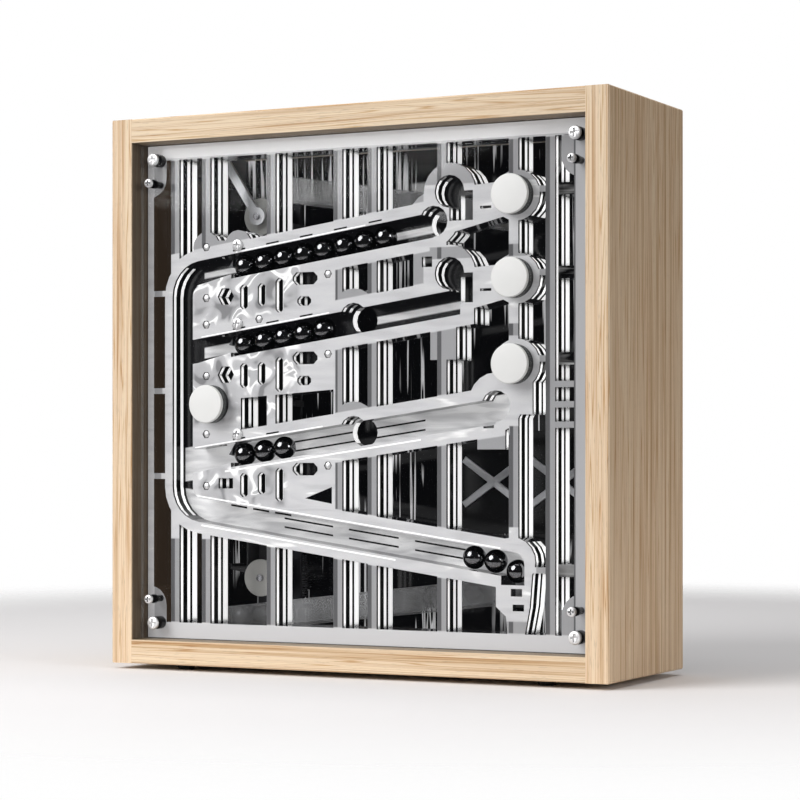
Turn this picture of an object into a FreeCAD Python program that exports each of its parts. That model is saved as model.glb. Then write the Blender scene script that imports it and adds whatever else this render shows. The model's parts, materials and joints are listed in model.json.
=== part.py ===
import FreeCAD, Part
import math
import os
import re

# Rolling ball clock: a wooden case holds a stack of laser-cut plates with four ball
# tracks.  Steel balls show the time, and a belt at the back lifts them again.
# Frame: X to the right, Y to the back, Z up, origin under the middle of the feet.

Vector = FreeCAD.Vector
ALONG_Y = FreeCAD.Rotation(Vector(1, 0, 0), -90)

SIZES = {
    # wooden case
    "case_width": 297.0, "case_height": 300.0, "case_depth": 104.0, "board": 13.0,
    "edge_break": 0.8, "foot_height": 3.0, "foot_radius": 5.0, "foot_side": 40.0,
    "foot_front": 14.0, "post": 15.0,
    # front cover and the stack of plates, from the front edge backwards
    "cover_setback": 8.5, "cover_thick": 3.0, "spacer_length": 4.5, "front_thick": 4.0,
    "channel_thick": 9.5, "rear_thick": 5.1, "plate_gap": 0.5,
    "screw_inset": 9.0, "screw_head": 3.5, "head_height": 1.8, "screw_shank": 1.5,
    "hole_gap": 0.1, "stud_drop": 13.4, "stud_head": 2.4, "stud_reach": 14.0,
    # lattice
    "frame_band": 8.3, "web": 5.4, "narrow_cell": 15.3, "edge_cell": 14.6,
    "slot_cell": 10.5, "edge_margin": 20.6, "side_margin": 12.4, "edge_bar": 3.9,
    "margin_band": 4.9, "pad_reach": 3.7, "pad_corner": 10.5, "pad_drop": 3.8, "rib": 3.2,
    "upper_rib": 2.1, "middle_rib": -3.4, "lower_rib": 5.8,
    # tracks and balls: drops are counted from the top of the case, insets from its inside
    "ball_radius": 6.2, "ball_pitch": 12.5, "ball_gap": 0.15, "back_gap": 0.3,
    "slope": 8.0, "head_room": 0.65, "band": 6.2, "shaft_inset": 23.2, "bend": 13.0,
    "row_start": 36.4, "minutes_drop": 81.5, "tens_rise": 8.7, "hours_z": 115.3,
    "drop_inset": 47.3, "feed_back": 25.1, "feed_z": 61.2, "drop_z": 54.4, "outlet_z": 46.0,
    "lip_height": 2.4, "lip_length": 22.0, "lip_gap": 0.3,
    "gate_rise": 11.0, "gate_back": 0.8, "gate_hub": 4.2, "gate_screw_head": 3.2,
    "gate_reach": 14.8,
    "port_radius": 7.6, "minutes_port": 2.2, "tens_port": 8.7, "pin_radius": 2.3,
    "entry_inset": 8.5, "entry_share": 0.168, "arch_share": 0.187,
    # slots and holes in the blocks
    "slot_start": 3.0, "slot_pitch": 11.15, "slot_width": 5.0, "oval_start": 41.2,
    "oval_length": 15.4, "oval_height": 6.8, "hex_radius": 5.2,
    # push buttons
    "button_inset": 45.2, "button_rise": 6.9, "hours_button_rise": 22.9,
    "release_offset": 20.2, "release_rise": 27.4, "button_radius": 10.5,
    "button_front": 6.4, "cap_thick": 2.6, "button_fit": 0.15, "button_travel": 3.0,
    "stem_radius": 3.0, "boss": 13.2, "bush_thick": 1.2,
    # lift
    "lift_offset": 28.3, "lift_depth": 60.0, "top_pulley_drop": 51.5, "low_pulley_z": 46.0,
    "pulley_radius": 9.0, "belt_width": 12.0, "belt_thick": 1.4, "flange": 1.2,
    "shaft_radius": 2.0, "run_gap": 0.1, "cup_reach": 11.0, "cup_thick": 1.6,
    "cup_pitch": 33.0, "web_depth": 74.0, "web_thick": 2.0, "web_width": 28.0,
    "motor_size": 24.0, "gearbox_length": 9.0, "rim_gap": 0.3,
    "arm_run": 22.0, "arm_drop": 4.7, "arm_gap": 2.0, "arm_thick": 2.0, "arm_eye": 5.0,
    "arm_width": 5.0, "arm_post": 2.5,
    # ramps at the back
    "wall": 1.8, "trough_side": 13.0, "low_end": 25.0, "low_end_z": 16.0,
    "top_start": 14.0, "top_start_rise": 9.5,
    # back
    "back_thick": 3.0, "back_recess": 3.0, "inlet_inset": 27.5, "inlet_z": 34.0,
    "inlet_radius": 5.5, "inlet_wall": 1.6, "inlet_length": 9.0, "pin_bore": 3.2,
    "box_inset": 17.5, "box_z": 72.0, "box_width": 100.0, "box_height": 56.0, "box_thick": 18.0,
    "board_inset": 5.0, "board_thick": 1.6, "leg_side": 4.0, "leg_height": 3.4,
    "brace_length": 44.0, "brace_width": 4.0, "brace_thick": 1.6, "brace_pitch": 40.0,
    "brace_angle": 35.0,
}

doc = FreeCAD.newDocument("rolling_ball_clock")
sheet = doc.addObject("Spreadsheet::Sheet", "Sizes")
for row, (alias, value) in enumerate(SIZES.items(), start=1):
    sheet.set("A%d" % row, alias)
    sheet.set("B%d" % row, str(value))
    sheet.setAlias("B%d" % row, alias)
doc.recompute()

nodes = {}


def size(alias):
    """A size read back from the sheet."""
    return float(sheet.get(alias))


def linked(text):
    """An expression whose alias words point at the sheet."""
    return re.sub(r"[a-z][a-z_]+", lambda m: "Sizes." + m.group(0)
                  if m.group(0) in SIZES else m.group(0), text)


def bind(obj, **expressions):
    """Tie properties of an object to the sheet."""
    for prop, text in expressions.items():
        obj.setExpression(prop, linked(str(text)))
    return obj


def place(obj, x, y, z, rotation=None):
    """Tie an object's place to the sheet."""
    if rotation is not None:
        obj.Placement = FreeCAD.Placement(Vector(), rotation)
    for axis, text in zip("xyz", (x, y, z)):
        obj.setExpression("Placement.Base." + axis, linked(str(text)))
    return obj


def box(name, length, width, height, x, y, z):
    """A box with its lowest corner at x, y, z."""
    obj = bind(doc.addObject("Part::Box", name), Length=length, Width=width, Height=height)
    return place(obj, x, y, z)


def rod(name, radius, length, x, y, z):
    """A round rod that runs backwards from its front end."""
    obj = bind(doc.addObject("Part::Cylinder", name), Radius=radius, Height=length)
    return place(obj, x, y, z, ALONG_Y)


def peg(name, radius, length, x, y, z, sides=6):
    """A small many-sided rod, for what is repeated often."""
    obj = bind(doc.addObject("Part::Prism", name), Circumradius=radius, Height=length)
    obj.Polygon = sides
    return place(obj, x, y, z, ALONG_Y)


def join(name, parts):
    """One solid from touching or overlapping solids."""
    obj = doc.addObject("Part::MultiFuse", name)
    obj.Shapes = parts
    obj.Refine = True
    return obj


def cut(name, base, tools):
    """A solid less its holes."""
    obj = doc.addObject("Part::Cut", name)
    obj.Base = base
    obj.Tool = tools[0] if len(tools) == 1 else join(name + "_holes", tools)
    return obj


def group(name, parts):
    """Separate solids of one kind under one name."""
    obj = doc.addObject("Part::Compound", name)
    obj.Links = parts
    return obj


def keep(node, obj):
    """Give a finished piece its node name."""
    obj.Label = node
    nodes[node] = obj
    return obj


def made(node, shape):
    """A finished piece whose shape comes from a function of the sizes."""
    obj = doc.addObject("Part::Feature", node + "_shape")
    obj.Shape = shape
    return keep(node, obj)


# Places that many pieces share, as expressions and as numbers.
FRONT_Y = "(-case_depth/2)"
COVER_Y = "(-case_depth/2+cover_setback)"
SPACER_Y = "(-case_depth/2+cover_setback+cover_thick)"
PLATE_Y = "(-case_depth/2+cover_setback+cover_thick+spacer_length)"
CHANNEL_Y = "(-case_depth/2+cover_setback+cover_thick+spacer_length+front_thick)"
REAR_Y = ("(-case_depth/2+cover_setback+cover_thick+spacer_length+front_thick"
          "+channel_thick)")
STACK_BACK = ("(-case_depth/2+cover_setback+cover_thick+spacer_length+front_thick"
              "+channel_thick+rear_thick)")
BACK_Y = "(case_depth/2-back_recess-back_thick)"
LIFT_Y = "(-case_depth/2+lift_depth)"
HALF_OPEN = "(case_width/2-board)"
SCREW_X = "(case_width/2-board-screw_inset)"
LOW_SCREW_Z = "(foot_height+board+screw_inset)"
HIGH_SCREW_Z = "(foot_height+case_height-board-screw_inset)"
LOW_STUD_Z = "(foot_height+board+screw_inset+stud_drop)"
HIGH_STUD_Z = "(foot_height+case_height-board-screw_inset-stud_drop)"
SHAFT_X = "(-case_width/2+board+shaft_inset)"
LIFT_X = "(-case_width/2+board+shaft_inset+lift_offset)"
TOP_PULLEY_Z = "(foot_height+case_height-top_pulley_drop)"
INLET_X = "(case_width/2-board-inlet_inset)"
BOX_X = "(case_width/2-board-box_inset-box_width)"
ARM_X = "(-case_width/2+board+shaft_inset+lift_offset-arm_run)"
ARM_Y = "(-case_depth/2+lift_depth-belt_width/2-rim_gap-flange-arm_gap-arm_thick)"
ARM_Z = "(foot_height+case_height-board-arm_drop)"


def number(text):
    """The value of an expression of sizes."""
    words = set(re.findall(r"[a-z][a-z_]+", text))
    total = doc.addObject("App::FeaturePython", "Value")
    total.addProperty("App::PropertyFloat", "Result")
    total.setExpression("Result", linked(text) if words & set(SIZES) else text)
    total.recompute()
    value = total.Result
    doc.removeObject(total.Name)
    return value


foot = size("foot_height")
tilt = math.tan(math.radians(size("slope")))
lean = math.cos(math.radians(size("slope")))
ball = size("ball_radius")
floor_gap = ball + size("ball_gap")
roof_gap = ball + size("head_room")
channel_half = (floor_gap + roof_gap) / 2
centre_lift = (roof_gap - floor_gap) / 2 / lean
band_half = channel_half + size("band")
plate_y = number(PLATE_Y)
channel_y = number(CHANNEL_Y)
rear_y = number(REAR_Y)
stack_back = number(STACK_BACK)
back_y = number(BACK_Y)
ball_y = rear_y - size("back_gap") - ball
lift_x = number(LIFT_X)
lift_y = number(LIFT_Y)
half_open = number(HALF_OPEN)
plate_half = half_open - size("plate_gap")
plate_low = size("board") + size("plate_gap")
plate_high = size("case_height") - size("board") - size("plate_gap")
shaft_x = number(SHAFT_X)
shaft_right = shaft_x + channel_half
row_x = shaft_x + size("row_start")
minutes_z = size("case_height") - size("minutes_drop")
tens_z = (minutes_z + size("hours_z")) / 2 + size("tens_rise")
drop_x = half_open - size("drop_inset")
outlet_floor = size("outlet_z") - floor_gap - 0.6

# The ball line of each track: a point on it and its rise to the right.
MINUTES = (row_x, minutes_z, tilt)
TENS = (row_x - 0.2, tens_z, tilt)
HOURS = (row_x - 0.2, size("hours_z"), tilt)
FEED = (drop_x - size("feed_back"), size("feed_z"), -tilt)
DISPLAY = {"minutes": MINUTES, "tens": TENS, "hours": HOURS}


def on_line(track, x):
    """Height of a track's ball line at x."""
    return track[1] + (x - track[0]) * track[2]


block_room = on_line(MINUTES, row_x) - on_line(TENS, row_x)
arch_rise = size("arch_share") * block_room


# ---------------------------------------------------------------- flat shapes
# Flat shapes lie in the plane Y = 0, with heights counted from the case's bottom.

def at(x, z):
    """A point of a flat shape."""
    return Vector(x, 0, z + foot)


def poly(points):
    """A face with straight sides."""
    corners = [at(x, z) for x, z in points]
    return Part.Face(Part.makePolygon(corners + corners[:1]))


def rect(x0, z0, x1, z1):
    """An upright rectangle."""
    return poly([(x0, z0), (x1, z0), (x1, z1), (x0, z1)])


def disc(x, z, radius):
    """A round face, in straight steps that are too short to see."""
    return ngon(x, z, radius, 20 if radius > 10 else 16)


def ngon(x, z, radius, sides=6):
    """A many-sided face with a corner on its +X side."""
    steps = [2 * math.pi * i / sides for i in range(sides)]
    return poly([(x + radius * math.cos(a), z + radius * math.sin(a)) for a in steps])


def slot(x0, z0, x1, z1, corner):
    """A rectangle with that much off each corner."""
    if not corner:
        return rect(x0, z0, x1, z1)
    c = corner
    return poly([(x0 + c, z0), (x1 - c, z0), (x1, z0 + c), (x1, z1 - c),
                 (x1 - c, z1), (x0 + c, z1), (x0, z1 - c), (x0, z0 + c)])


def run(track, x0, x1, below, above):
    """A strip along a track, from below its ball line to above it."""
    return poly([(x0, on_line(track, x0) - below), (x1, on_line(track, x1) - below),
                 (x1, on_line(track, x1) + above), (x0, on_line(track, x0) + above)])


def sector(cx, cz, inner, outer, start, end):
    """Part of a ring between two angles in degrees, counted from +X towards +Z."""
    steps = max(2, round((end - start) / 13))
    turns = [math.radians(start + (end - start) * i / steps) for i in range(steps + 1)]
    outside = [(cx + outer * math.cos(a), cz + outer * math.sin(a)) for a in turns]
    inside = [(cx + inner * math.cos(a), cz + inner * math.sin(a)) for a in turns[::-1]]
    return poly(outside + inside)


def bend_centre(track, side):
    """Centre of the bend that joins a track to the shaft, above or below the track."""
    reach = size("bend")
    cx = shaft_x + reach
    return cx, on_line(track, cx) + centre_lift + side * reach / lean


def pathway(half):
    """Faces along the outer path: minutes track, shaft and feed track."""
    slope = size("slope")
    bend = size("bend")
    below, above = half / lean - centre_lift, half / lean + centre_lift
    top_x, top_z = bend_centre(MINUTES, -1)
    low_x, low_z = bend_centre(FEED, 1)
    start = (bend + half) * math.sin(math.radians(slope)) + 0.05
    inner = bend - half
    faces = [run(MINUTES, top_x - start, ports()[0][1], below, above),
             rect(shaft_x - half, low_z, shaft_x + half, top_z),
             run(FEED, low_x - start, drop_x, below, above)]
    for cx, cz, first, last in ((top_x, top_z, 90 + slope, 180),
                                (low_x, low_z, 180, 270 - slope)):
        faces.append(sector(cx, cz, max(inner, 0.2), bend + half, first, last))
    return faces


def lip(track):
    """The low step that the first ball of a display track leans on."""
    tip = track[0] - math.sqrt(ball ** 2 - (floor_gap - size("lip_height")) ** 2)
    tip -= size("lip_gap")
    start = tip - size("lip_length")
    base = floor_gap / lean + 0.3
    top = floor_gap / lean - size("lip_height")
    return poly([(start, on_line(track, start) - base), (tip, on_line(track, tip) - base),
                 (tip, on_line(track, tip) - top), (start, on_line(track, start) - base + 0.2)])


def cell_columns():
    """Left and right edge of each row of cells, from the left.  Wide cells share what is left."""
    web = size("web")
    left = -plate_half + size("edge_margin")
    right = plate_half - size("side_margin")
    kinds = ["edge_cell", "wide", "wide", "narrow_cell", "wide", "wide", "narrow_cell",
             "slot_cell"]
    fixed = sum(size(kind) for kind in kinds if kind != "wide")
    wide = (right - left - fixed - web * (len(kinds) - 1)) / kinds.count("wide")
    columns = []
    for kind in kinds:
        width = wide if kind == "wide" else size(kind)
        columns.append((left, left + width))
        left += width + web
    return columns


def under(track, x, share):
    """Height at x that lies a share of the room under a display track below its line."""
    room = block_room
    if track == HOURS:
        last = row_x + size("slot_start") + 2 * size("slot_pitch")
        room = on_line(HOURS, last) - on_line(FEED, last)
    return on_line(track, x) - share * room


def ports():
    """Track and x of each round port through the rear plate."""
    columns = cell_columns()
    x = columns[3][0] + size("tens_port") - 2
    return [(MINUTES, columns[4][1] - size("minutes_port")), (TENS, x), (HOURS, x)]


def entries():
    """Centres of the two entries through which balls come down on the top tracks."""
    x = cell_columns()[5][0] + size("entry_inset")
    return [(x, under(track, x, -size("entry_share"))) for track in (MINUTES, TENS)]


def buttons():
    """Name and centre of each push button."""
    x = half_open - size("button_inset")
    rise = size("button_rise")
    return {"minutes": (x, on_line(MINUTES, x) + rise), "tens": (x, on_line(TENS, x) + rise),
            "hours": (x, on_line(HOURS, x) + size("hours_button_rise")),
            "release": (shaft_x + size("release_offset"),
                        size("hours_z") + size("release_rise"))}


def gate_centre(track):
    """The pivot of a track's gate."""
    x = track[0] - size("gate_back")
    return x, on_line(track, x) + size("gate_rise")


def pins():
    """Centres of the small pins that line the plates up."""
    left = shaft_right + 8.7
    column = [on_line(MINUTES, left) + 13.6]
    column += [under(track, left, share) for track, share in
               ((MINUTES, 0.336), (TENS, -0.324), (TENS, 0.336), (HOURS, -0.333),
                (HOURS, 0.35))]
    x = cell_columns()[2][1] - 3.4
    arm = [(x, under(track, x, 0.336)) for track in (MINUTES, TENS, HOURS)]
    x = row_x + 12.5
    return [(left, z) for z in column] + arm + [(x, under(TENS, x, -0.266))]


def corner_points():
    """Centres of the four corner screws and of the four studs beside them."""
    x = number(SCREW_X)
    screws = [(sx * x, number(z) - foot) for sx in (-1, 1) for z in (LOW_SCREW_Z, HIGH_SCREW_Z)]
    studs = [(sx * x, number(z) - foot) for sx in (-1, 1) for z in (LOW_STUD_Z, HIGH_STUD_Z)]
    return screws, studs


def solid_areas():
    """Faces that stay solid where they cross the cells: bands, blocks and bosses."""
    columns = cell_columns()
    block_end = columns[2][1]
    faces = pathway(band_half)
    below, above = band_half / lean - centre_lift, band_half / lean + centre_lift
    faces.append(run(TENS, shaft_right, columns[5][0] + 16, below, above))
    faces.append(run(HOURS, shaft_right, columns[5][1] - 8, below, above))
    # blocks between the tracks on the left
    left = shaft_right
    faces.append(poly([(left, on_line(TENS, left)), (block_end, on_line(TENS, block_end)),
                       (block_end, on_line(MINUTES, block_end)),
                       (left, on_line(MINUTES, left))]))
    shelf = on_line(TENS, block_end) - 38
    step = buttons()["release"][0] + size("boss") + 4
    faces.append(poly([(left, on_line(HOURS, left)), (step, on_line(HOURS, step)),
                       (step, shelf), (block_end, shelf + 4),
                       (block_end, on_line(TENS, block_end)), (left, on_line(TENS, left))]))
    faces.append(poly([(left, on_line(FEED, left)), (block_end, on_line(FEED, block_end)),
                       (block_end, on_line(HOURS, block_end)), (left, on_line(HOURS, left))]))
    # domes over the first minutes gate and pin
    for x, z in (gate_centre(MINUTES), pins()[0]):
        faces.append(disc(x, z, 8.4))
    gate_x, gate_z = gate_centre(MINUTES)
    faces.append(rect(gate_x - size("gate_reach"), gate_z - 4, gate_x, gate_z + 3))
    # pads round the corner screws on the right
    screws, studs = corner_points()
    for (x, z), (_, stud_z) in zip(screws[2:], studs[2:]):
        faces.append(disc(x, (2 * z + 8 * stud_z) / 10, 10.8))
        faces.append(rect(x - 10.8, min(z, stud_z), x, max(z, stud_z)))
    # humps over the ports
    for track, x in ports():
        faces.append(disc(x, on_line(track, x) + 3.5, size("port_radius") + 7.0))
    # entry arches and the arms that carry the buttons
    for x, z in buttons().values():
        faces.append(disc(x, z, size("boss")))
    for (entry_x, entry_z), name in zip(entries(), ("minutes", "tens")):
        x, z = buttons()[name]
        faces.append(disc(entry_x - 6.8, entry_z + arch_rise, 15.0))
        faces.append(poly([(entry_x - 9, entry_z - 14.5), (x - 2, z - 9.5), (x, z + 8),
                           (entry_x, z + 6), (entry_x - 9, z)]))
    hours_z = buttons()["hours"][1]
    faces.append(disc(columns[5][1] - 7.5, on_line(HOURS, columns[5][1] - 7.5) + 5, 15.5))
    faces.append(rect(columns[5][1] - 2, hours_z - 26, columns[6][0] + 8, hours_z))
    # ducts that lead from one track to the next
    duct = columns[4][1]
    faces.append(rect(duct - 14, on_line(TENS, duct), duct + 1, on_line(MINUTES, duct)))
    faces.append(rect(duct - 4, on_line(TENS, duct) - 28, duct + 11, on_line(TENS, duct)))
    faces.append(rect(columns[5][1] - 18, hours_z - 44, columns[5][1] - 2, hours_z - 20))
    faces.append(disc(drop_x, size("drop_z") + 5, band_half))
    faces.append(poly([(drop_x - band_half, size("drop_z") + 4),
                       (drop_x - channel_half - 3, size("outlet_z")),
                       (drop_x - channel_half - 3, outlet_floor - 3),
                       (drop_x - 3.8, outlet_floor - 8), (drop_x - 2.4, plate_low),
                       (drop_x + 5.2, plate_low), (drop_x + channel_half + 3, outlet_floor - 3),
                       (drop_x + band_half - 1.4, size("drop_z") + 4)]))
    return faces


def left_pads(low, high):
    """Pads round the corner screws on the left, each with one round corner."""
    screws, studs = corner_points()
    corner = size("pad_corner")
    faces = []
    for (x, _), (_, stud_z), edge, side in zip(screws, studs, (low, high), (-1, 1)):
        right, middle = x + size("pad_reach"), stud_z + side * size("pad_drop")
        faces.append(disc(right - corner, middle, corner))
        faces.append(rect(-plate_half, min(edge, middle), right, max(edge, middle)))
    return faces


def ribs(columns, front):
    """Short cross ribs between the columns."""
    rib = size("rib")
    faces = []
    last = columns[-1]
    heights = [z + 2.6 for name, (_, z) in buttons().items() if name != "release"]
    heights.append(size("drop_z") + 1)
    for z in heights:
        faces.append(rect(columns[6][0], z - rib / 2, columns[6][1], z + rib / 2))
        if not front:
            faces.append(rect(last[0], z - rib, last[1], z + rib))
    middle = on_line(HOURS, last[0]) + 0.8
    for i in range(-1, 2):
        z = middle + i * 10.4 - 2
        faces.append(rect(last[0], z - rib / 2, last[1], z + rib / 2))
    return faces


def track_voids():
    """The open channels that the balls run in."""
    columns = cell_columns()
    below, above = channel_half / lean - centre_lift, channel_half / lean + centre_lift
    faces = pathway(channel_half)
    faces.append(run(TENS, shaft_x, columns[5][0] + 8, below, above))
    faces.append(run(HOURS, shaft_x, columns[5][1] - 7.5, below, above))
    for track, x in ports():
        faces.append(disc(x, on_line(track, x) + 2.2, size("port_radius") + 0.6))
    for entry_x, entry_z in entries():
        faces.append(disc(entry_x - 6.8, entry_z + arch_rise, 8.6))
        faces.append(rect(entry_x - 6.8, entry_z - 7.5, entry_x + 6.8, entry_z + arch_rise))
    hours_end = columns[5][1] - 7.5
    faces.append(disc(hours_end, on_line(HOURS, hours_end) + 3, 8.2))
    faces.append(disc(drop_x, on_line(FEED, drop_x) + centre_lift, channel_half))
    faces.append(rect(drop_x - channel_half, size("drop_z") - floor_gap - 0.6,
                      drop_x + channel_half, on_line(FEED, drop_x)))
    return faces


def gate_pocket(track):
    """The pocket in the channel plate in which a gate swings."""
    x, z = gate_centre(track)
    return [disc(x, z, size("gate_hub") + 0.5),
            sector(x, z, 0.6, size("gate_reach") + 1.4, 172, 262)]


def block_slots(corner):
    """Slots and windows cut through the blocks, with that much off each corner."""
    faces = []
    half = size("slot_width") / 2
    oval_x, oval_half = row_x + size("oval_start"), size("oval_length") / 2
    for track in (MINUTES, TENS, HOURS):
        for i, (top, low) in enumerate(((0.26, 0.573), (0.289, 0.571), (0.268, 0.699))):
            x = row_x + size("slot_start") + i * size("slot_pitch")
            faces.append(slot(x - half, under(track, x, low), x + half,
                              under(track, x, top), corner))
        z = under(track, oval_x, 0.334)
        faces.append(slot(oval_x - oval_half, z - size("oval_height") / 2,
                          oval_x + oval_half, z + size("oval_height") / 2, 1.5 * corner))
    left = shaft_right + 21.2
    faces.append(ngon(left, under(MINUTES, left, 0.364), size("hex_radius")))
    faces.append(ngon(left, under(TENS, left, 0.364), size("hex_radius")))
    z = under(HOURS, left, 0.355)
    faces.append(rect(left - 4.6, z - 2.8, left + 4.6, z + 2.8))
    for track in (MINUTES, TENS):
        z = under(track, oval_x, 0.618)
        faces.append(slot(oval_x - 4.8, z - 2.5, oval_x + 3.7, z + 2.5, corner))
    tip, right = oval_x, cell_columns()[2][1] - 1
    faces.append(poly([(tip, on_line(FEED, tip) + 16.5), (right, on_line(FEED, right) + 16),
                       (right, on_line(FEED, right) + 25)]))
    return faces


def plate_face(kind):
    """The flat outline of one plate of the stack: front, channel or rear."""
    columns = cell_columns()
    low = plate_low - size("plate_gap") + size("frame_band") + 0.9
    high = plate_high + size("plate_gap") - size("frame_band") - 0.4
    bodies = solid_areas() + ribs(columns, kind == "front")
    face = rect(-plate_half, plate_low, plate_half, plate_high)
    holes = [rect(left, low, right, high).cut(bodies) for left, right in columns]
    # margin beside the shaft: ribs cut it into slots, pads and bends narrow it
    edge, rib = -plate_half + size("edge_bar"), size("rib") / 2
    upper = bend_centre(MINUTES, -1)[1] + size("upper_rib")
    lower = bend_centre(FEED, 1)[1] + size("lower_rib")
    edge_ribs = [low - rib, lower, (lower + upper) / 2 + size("middle_rib"), upper, high + rib]
    kept = pathway(channel_half + size("margin_band")) + left_pads(low, high)
    for z0, z1 in zip(edge_ribs, edge_ribs[1:]):
        margin = rect(edge, z0 + rib, columns[0][0] - size("web"), z1 - rib)
        holes.append(margin.cut(kept))
    screws, studs = corner_points()
    gap = size("hole_gap")
    round_holes = [ngon(x, z, size("screw_shank") + gap) for x, z in screws + studs]
    if kind == "rear":
        for track, x in ports():
            holes.append(disc(x, on_line(track, x) + 1.5, size("port_radius")))
        for x, z in entries():
            holes.append(rect(x - 6.5, z - 7, x + 6.5, z + 7))
        holes.append(rect(drop_x - 6.8, outlet_floor, drop_x + 6.8, size("drop_z") + 3.4))
        round_holes += [ngon(*gate_centre(t), size("screw_shank") + gap)
                        for t in DISPLAY.values()]
    else:
        lips = [lip(track) for track in DISPLAY.values()]
        holes += [void.cut(lips) for void in track_voids()]
        round_holes += [ngon(x, z, size("pin_radius") + gap) for x, z in pins()]
        holes += block_slots(1.6 if kind == "front" else 0)
    if kind == "front":
        round_holes += [ngon(*gate_centre(t), size("screw_shank") + gap)
                        for t in DISPLAY.values()]
        duct = columns[4][1]
        holes.append(rect(duct - 9, on_line(MINUTES, duct) - 22, duct - 3,
                          on_line(MINUTES, duct) - 16.5))
        hours_z = buttons()["hours"][1]
        holes.append(rect(columns[5][1] - 14.5, hours_z - 33, columns[5][1] - 8.5, hours_z - 26.5))
        holes.append(rect(drop_x - 1.1, outlet_floor + 2.6, drop_x + 5.3,
                          size("drop_z") - floor_gap - 2.5))
        holes.append(rect(drop_x, outlet_floor - 5, drop_x + 6.4, outlet_floor - 1.6))
        for x, z in entries():
            holes.append(rect(x + 11, z - 1.9, x + 17.4, z - 0.5))
    if kind == "channel":
        for track in DISPLAY.values():
            holes += gate_pocket(track)
        holes.append(rect(drop_x - channel_half, outlet_floor, drop_x + channel_half,
                          size("drop_z")))
    stems = [ngon(x, z, size("stem_radius") + gap) for x, z in buttons().values()]
    return face.cut(holes).cut(round_holes + stems)


def thick(face, y, depth):
    """A flat shape made solid, from y backwards."""
    solid = face.extrude(Vector(0, depth, 0))
    solid.translate(Vector(0, y, 0))
    return solid


def plates():
    """The three plates of the stack, from the front backwards."""
    made("front_plate", thick(plate_face("front"), plate_y, size("front_thick")))
    made("channel_plate", thick(plate_face("channel"), channel_y, size("channel_thick")))
    made("rear_plate", thick(plate_face("rear"), rear_y, size("rear_thick")))


# ---------------------------------------------------------------- case

def board(node, length, height, x, z, edges):
    """One board of the case, with its long outer edges broken."""
    plank = box(node + "_plank", length, "case_depth", height, x, FRONT_Y, z)
    doc.recompute()
    broken = doc.addObject("Part::Chamfer", node + "_edges")
    broken.Base = plank
    width = size("edge_break")
    chosen = [i for i, edge in enumerate(plank.Shape.Edges, start=1) if edges(edge)]
    broken.Edges = [(i, width, width) for i in chosen]
    keep(node, broken)


def on_outside(x=None, z=None):
    """A test that picks the edges of a board that lie on an outer face."""
    def test(edge):
        """True for an edge on the chosen outer face that isn't a joint."""
        middle = edge.CenterOfMass
        if x is not None:
            return abs(middle.x - x) < 0.01
        return abs(middle.z - z) < 0.01 and edge.BoundBox.XLength > 1
    return test


def case():
    """Four boards, corner posts and feet."""
    half, high = size("case_width") / 2, size("case_height") + foot
    board("left_board", "board", "case_height", "-case_width/2", "foot_height",
          on_outside(x=-half))
    board("right_board", "board", "case_height", "case_width/2-board", "foot_height",
          on_outside(x=half))
    board("top_board", "case_width-2*board", "board", "-case_width/2+board",
          "foot_height+case_height-board", on_outside(z=high))
    board("bottom_board", "case_width-2*board", "board", "-case_width/2+board",
          "foot_height", on_outside(z=foot))
    posts, feet = [], []
    depth = "(%s-%s)" % (BACK_Y, STACK_BACK)
    for i, side in enumerate((-1, 1)):
        x = "%d*%s%s" % (side, HALF_OPEN, "" if side < 0 else "-post")
        for j, z in enumerate(("foot_height+board", "foot_height+case_height-board-post")):
            post = box("post_%d%d" % (i, j), "post", depth, "post", x, STACK_BACK, z)
            bore = peg("post_bore_%d%d" % (i, j), "screw_shank+hole_gap", "post",
                       "%d*%s" % (side, SCREW_X), STACK_BACK, (LOW_SCREW_Z, HIGH_SCREW_Z)[j])
            back = peg("post_back_%d%d" % (i, j), "screw_shank+hole_gap", "post",
                       "%d*(%s-post/2)" % (side, HALF_OPEN), BACK_Y + "-post",
                       z + "+post/2")
            posts.append(cut("post_cut_%d%d" % (i, j), post, [bore, back]))
        for j, y in enumerate(("-case_depth/2+foot_front", "case_depth/2-foot_front")):
            pad = bind(doc.addObject("Part::Prism", "foot_%d%d" % (i, j)),
                       Circumradius="foot_radius", Height="foot_height")
            pad.Polygon = 12
            feet.append(place(pad, "%d*(case_width/2-foot_side)" % side, y, "0"))
    keep("corner_posts", group("posts", posts))
    keep("rubber_feet", group("feet", feet))


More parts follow.
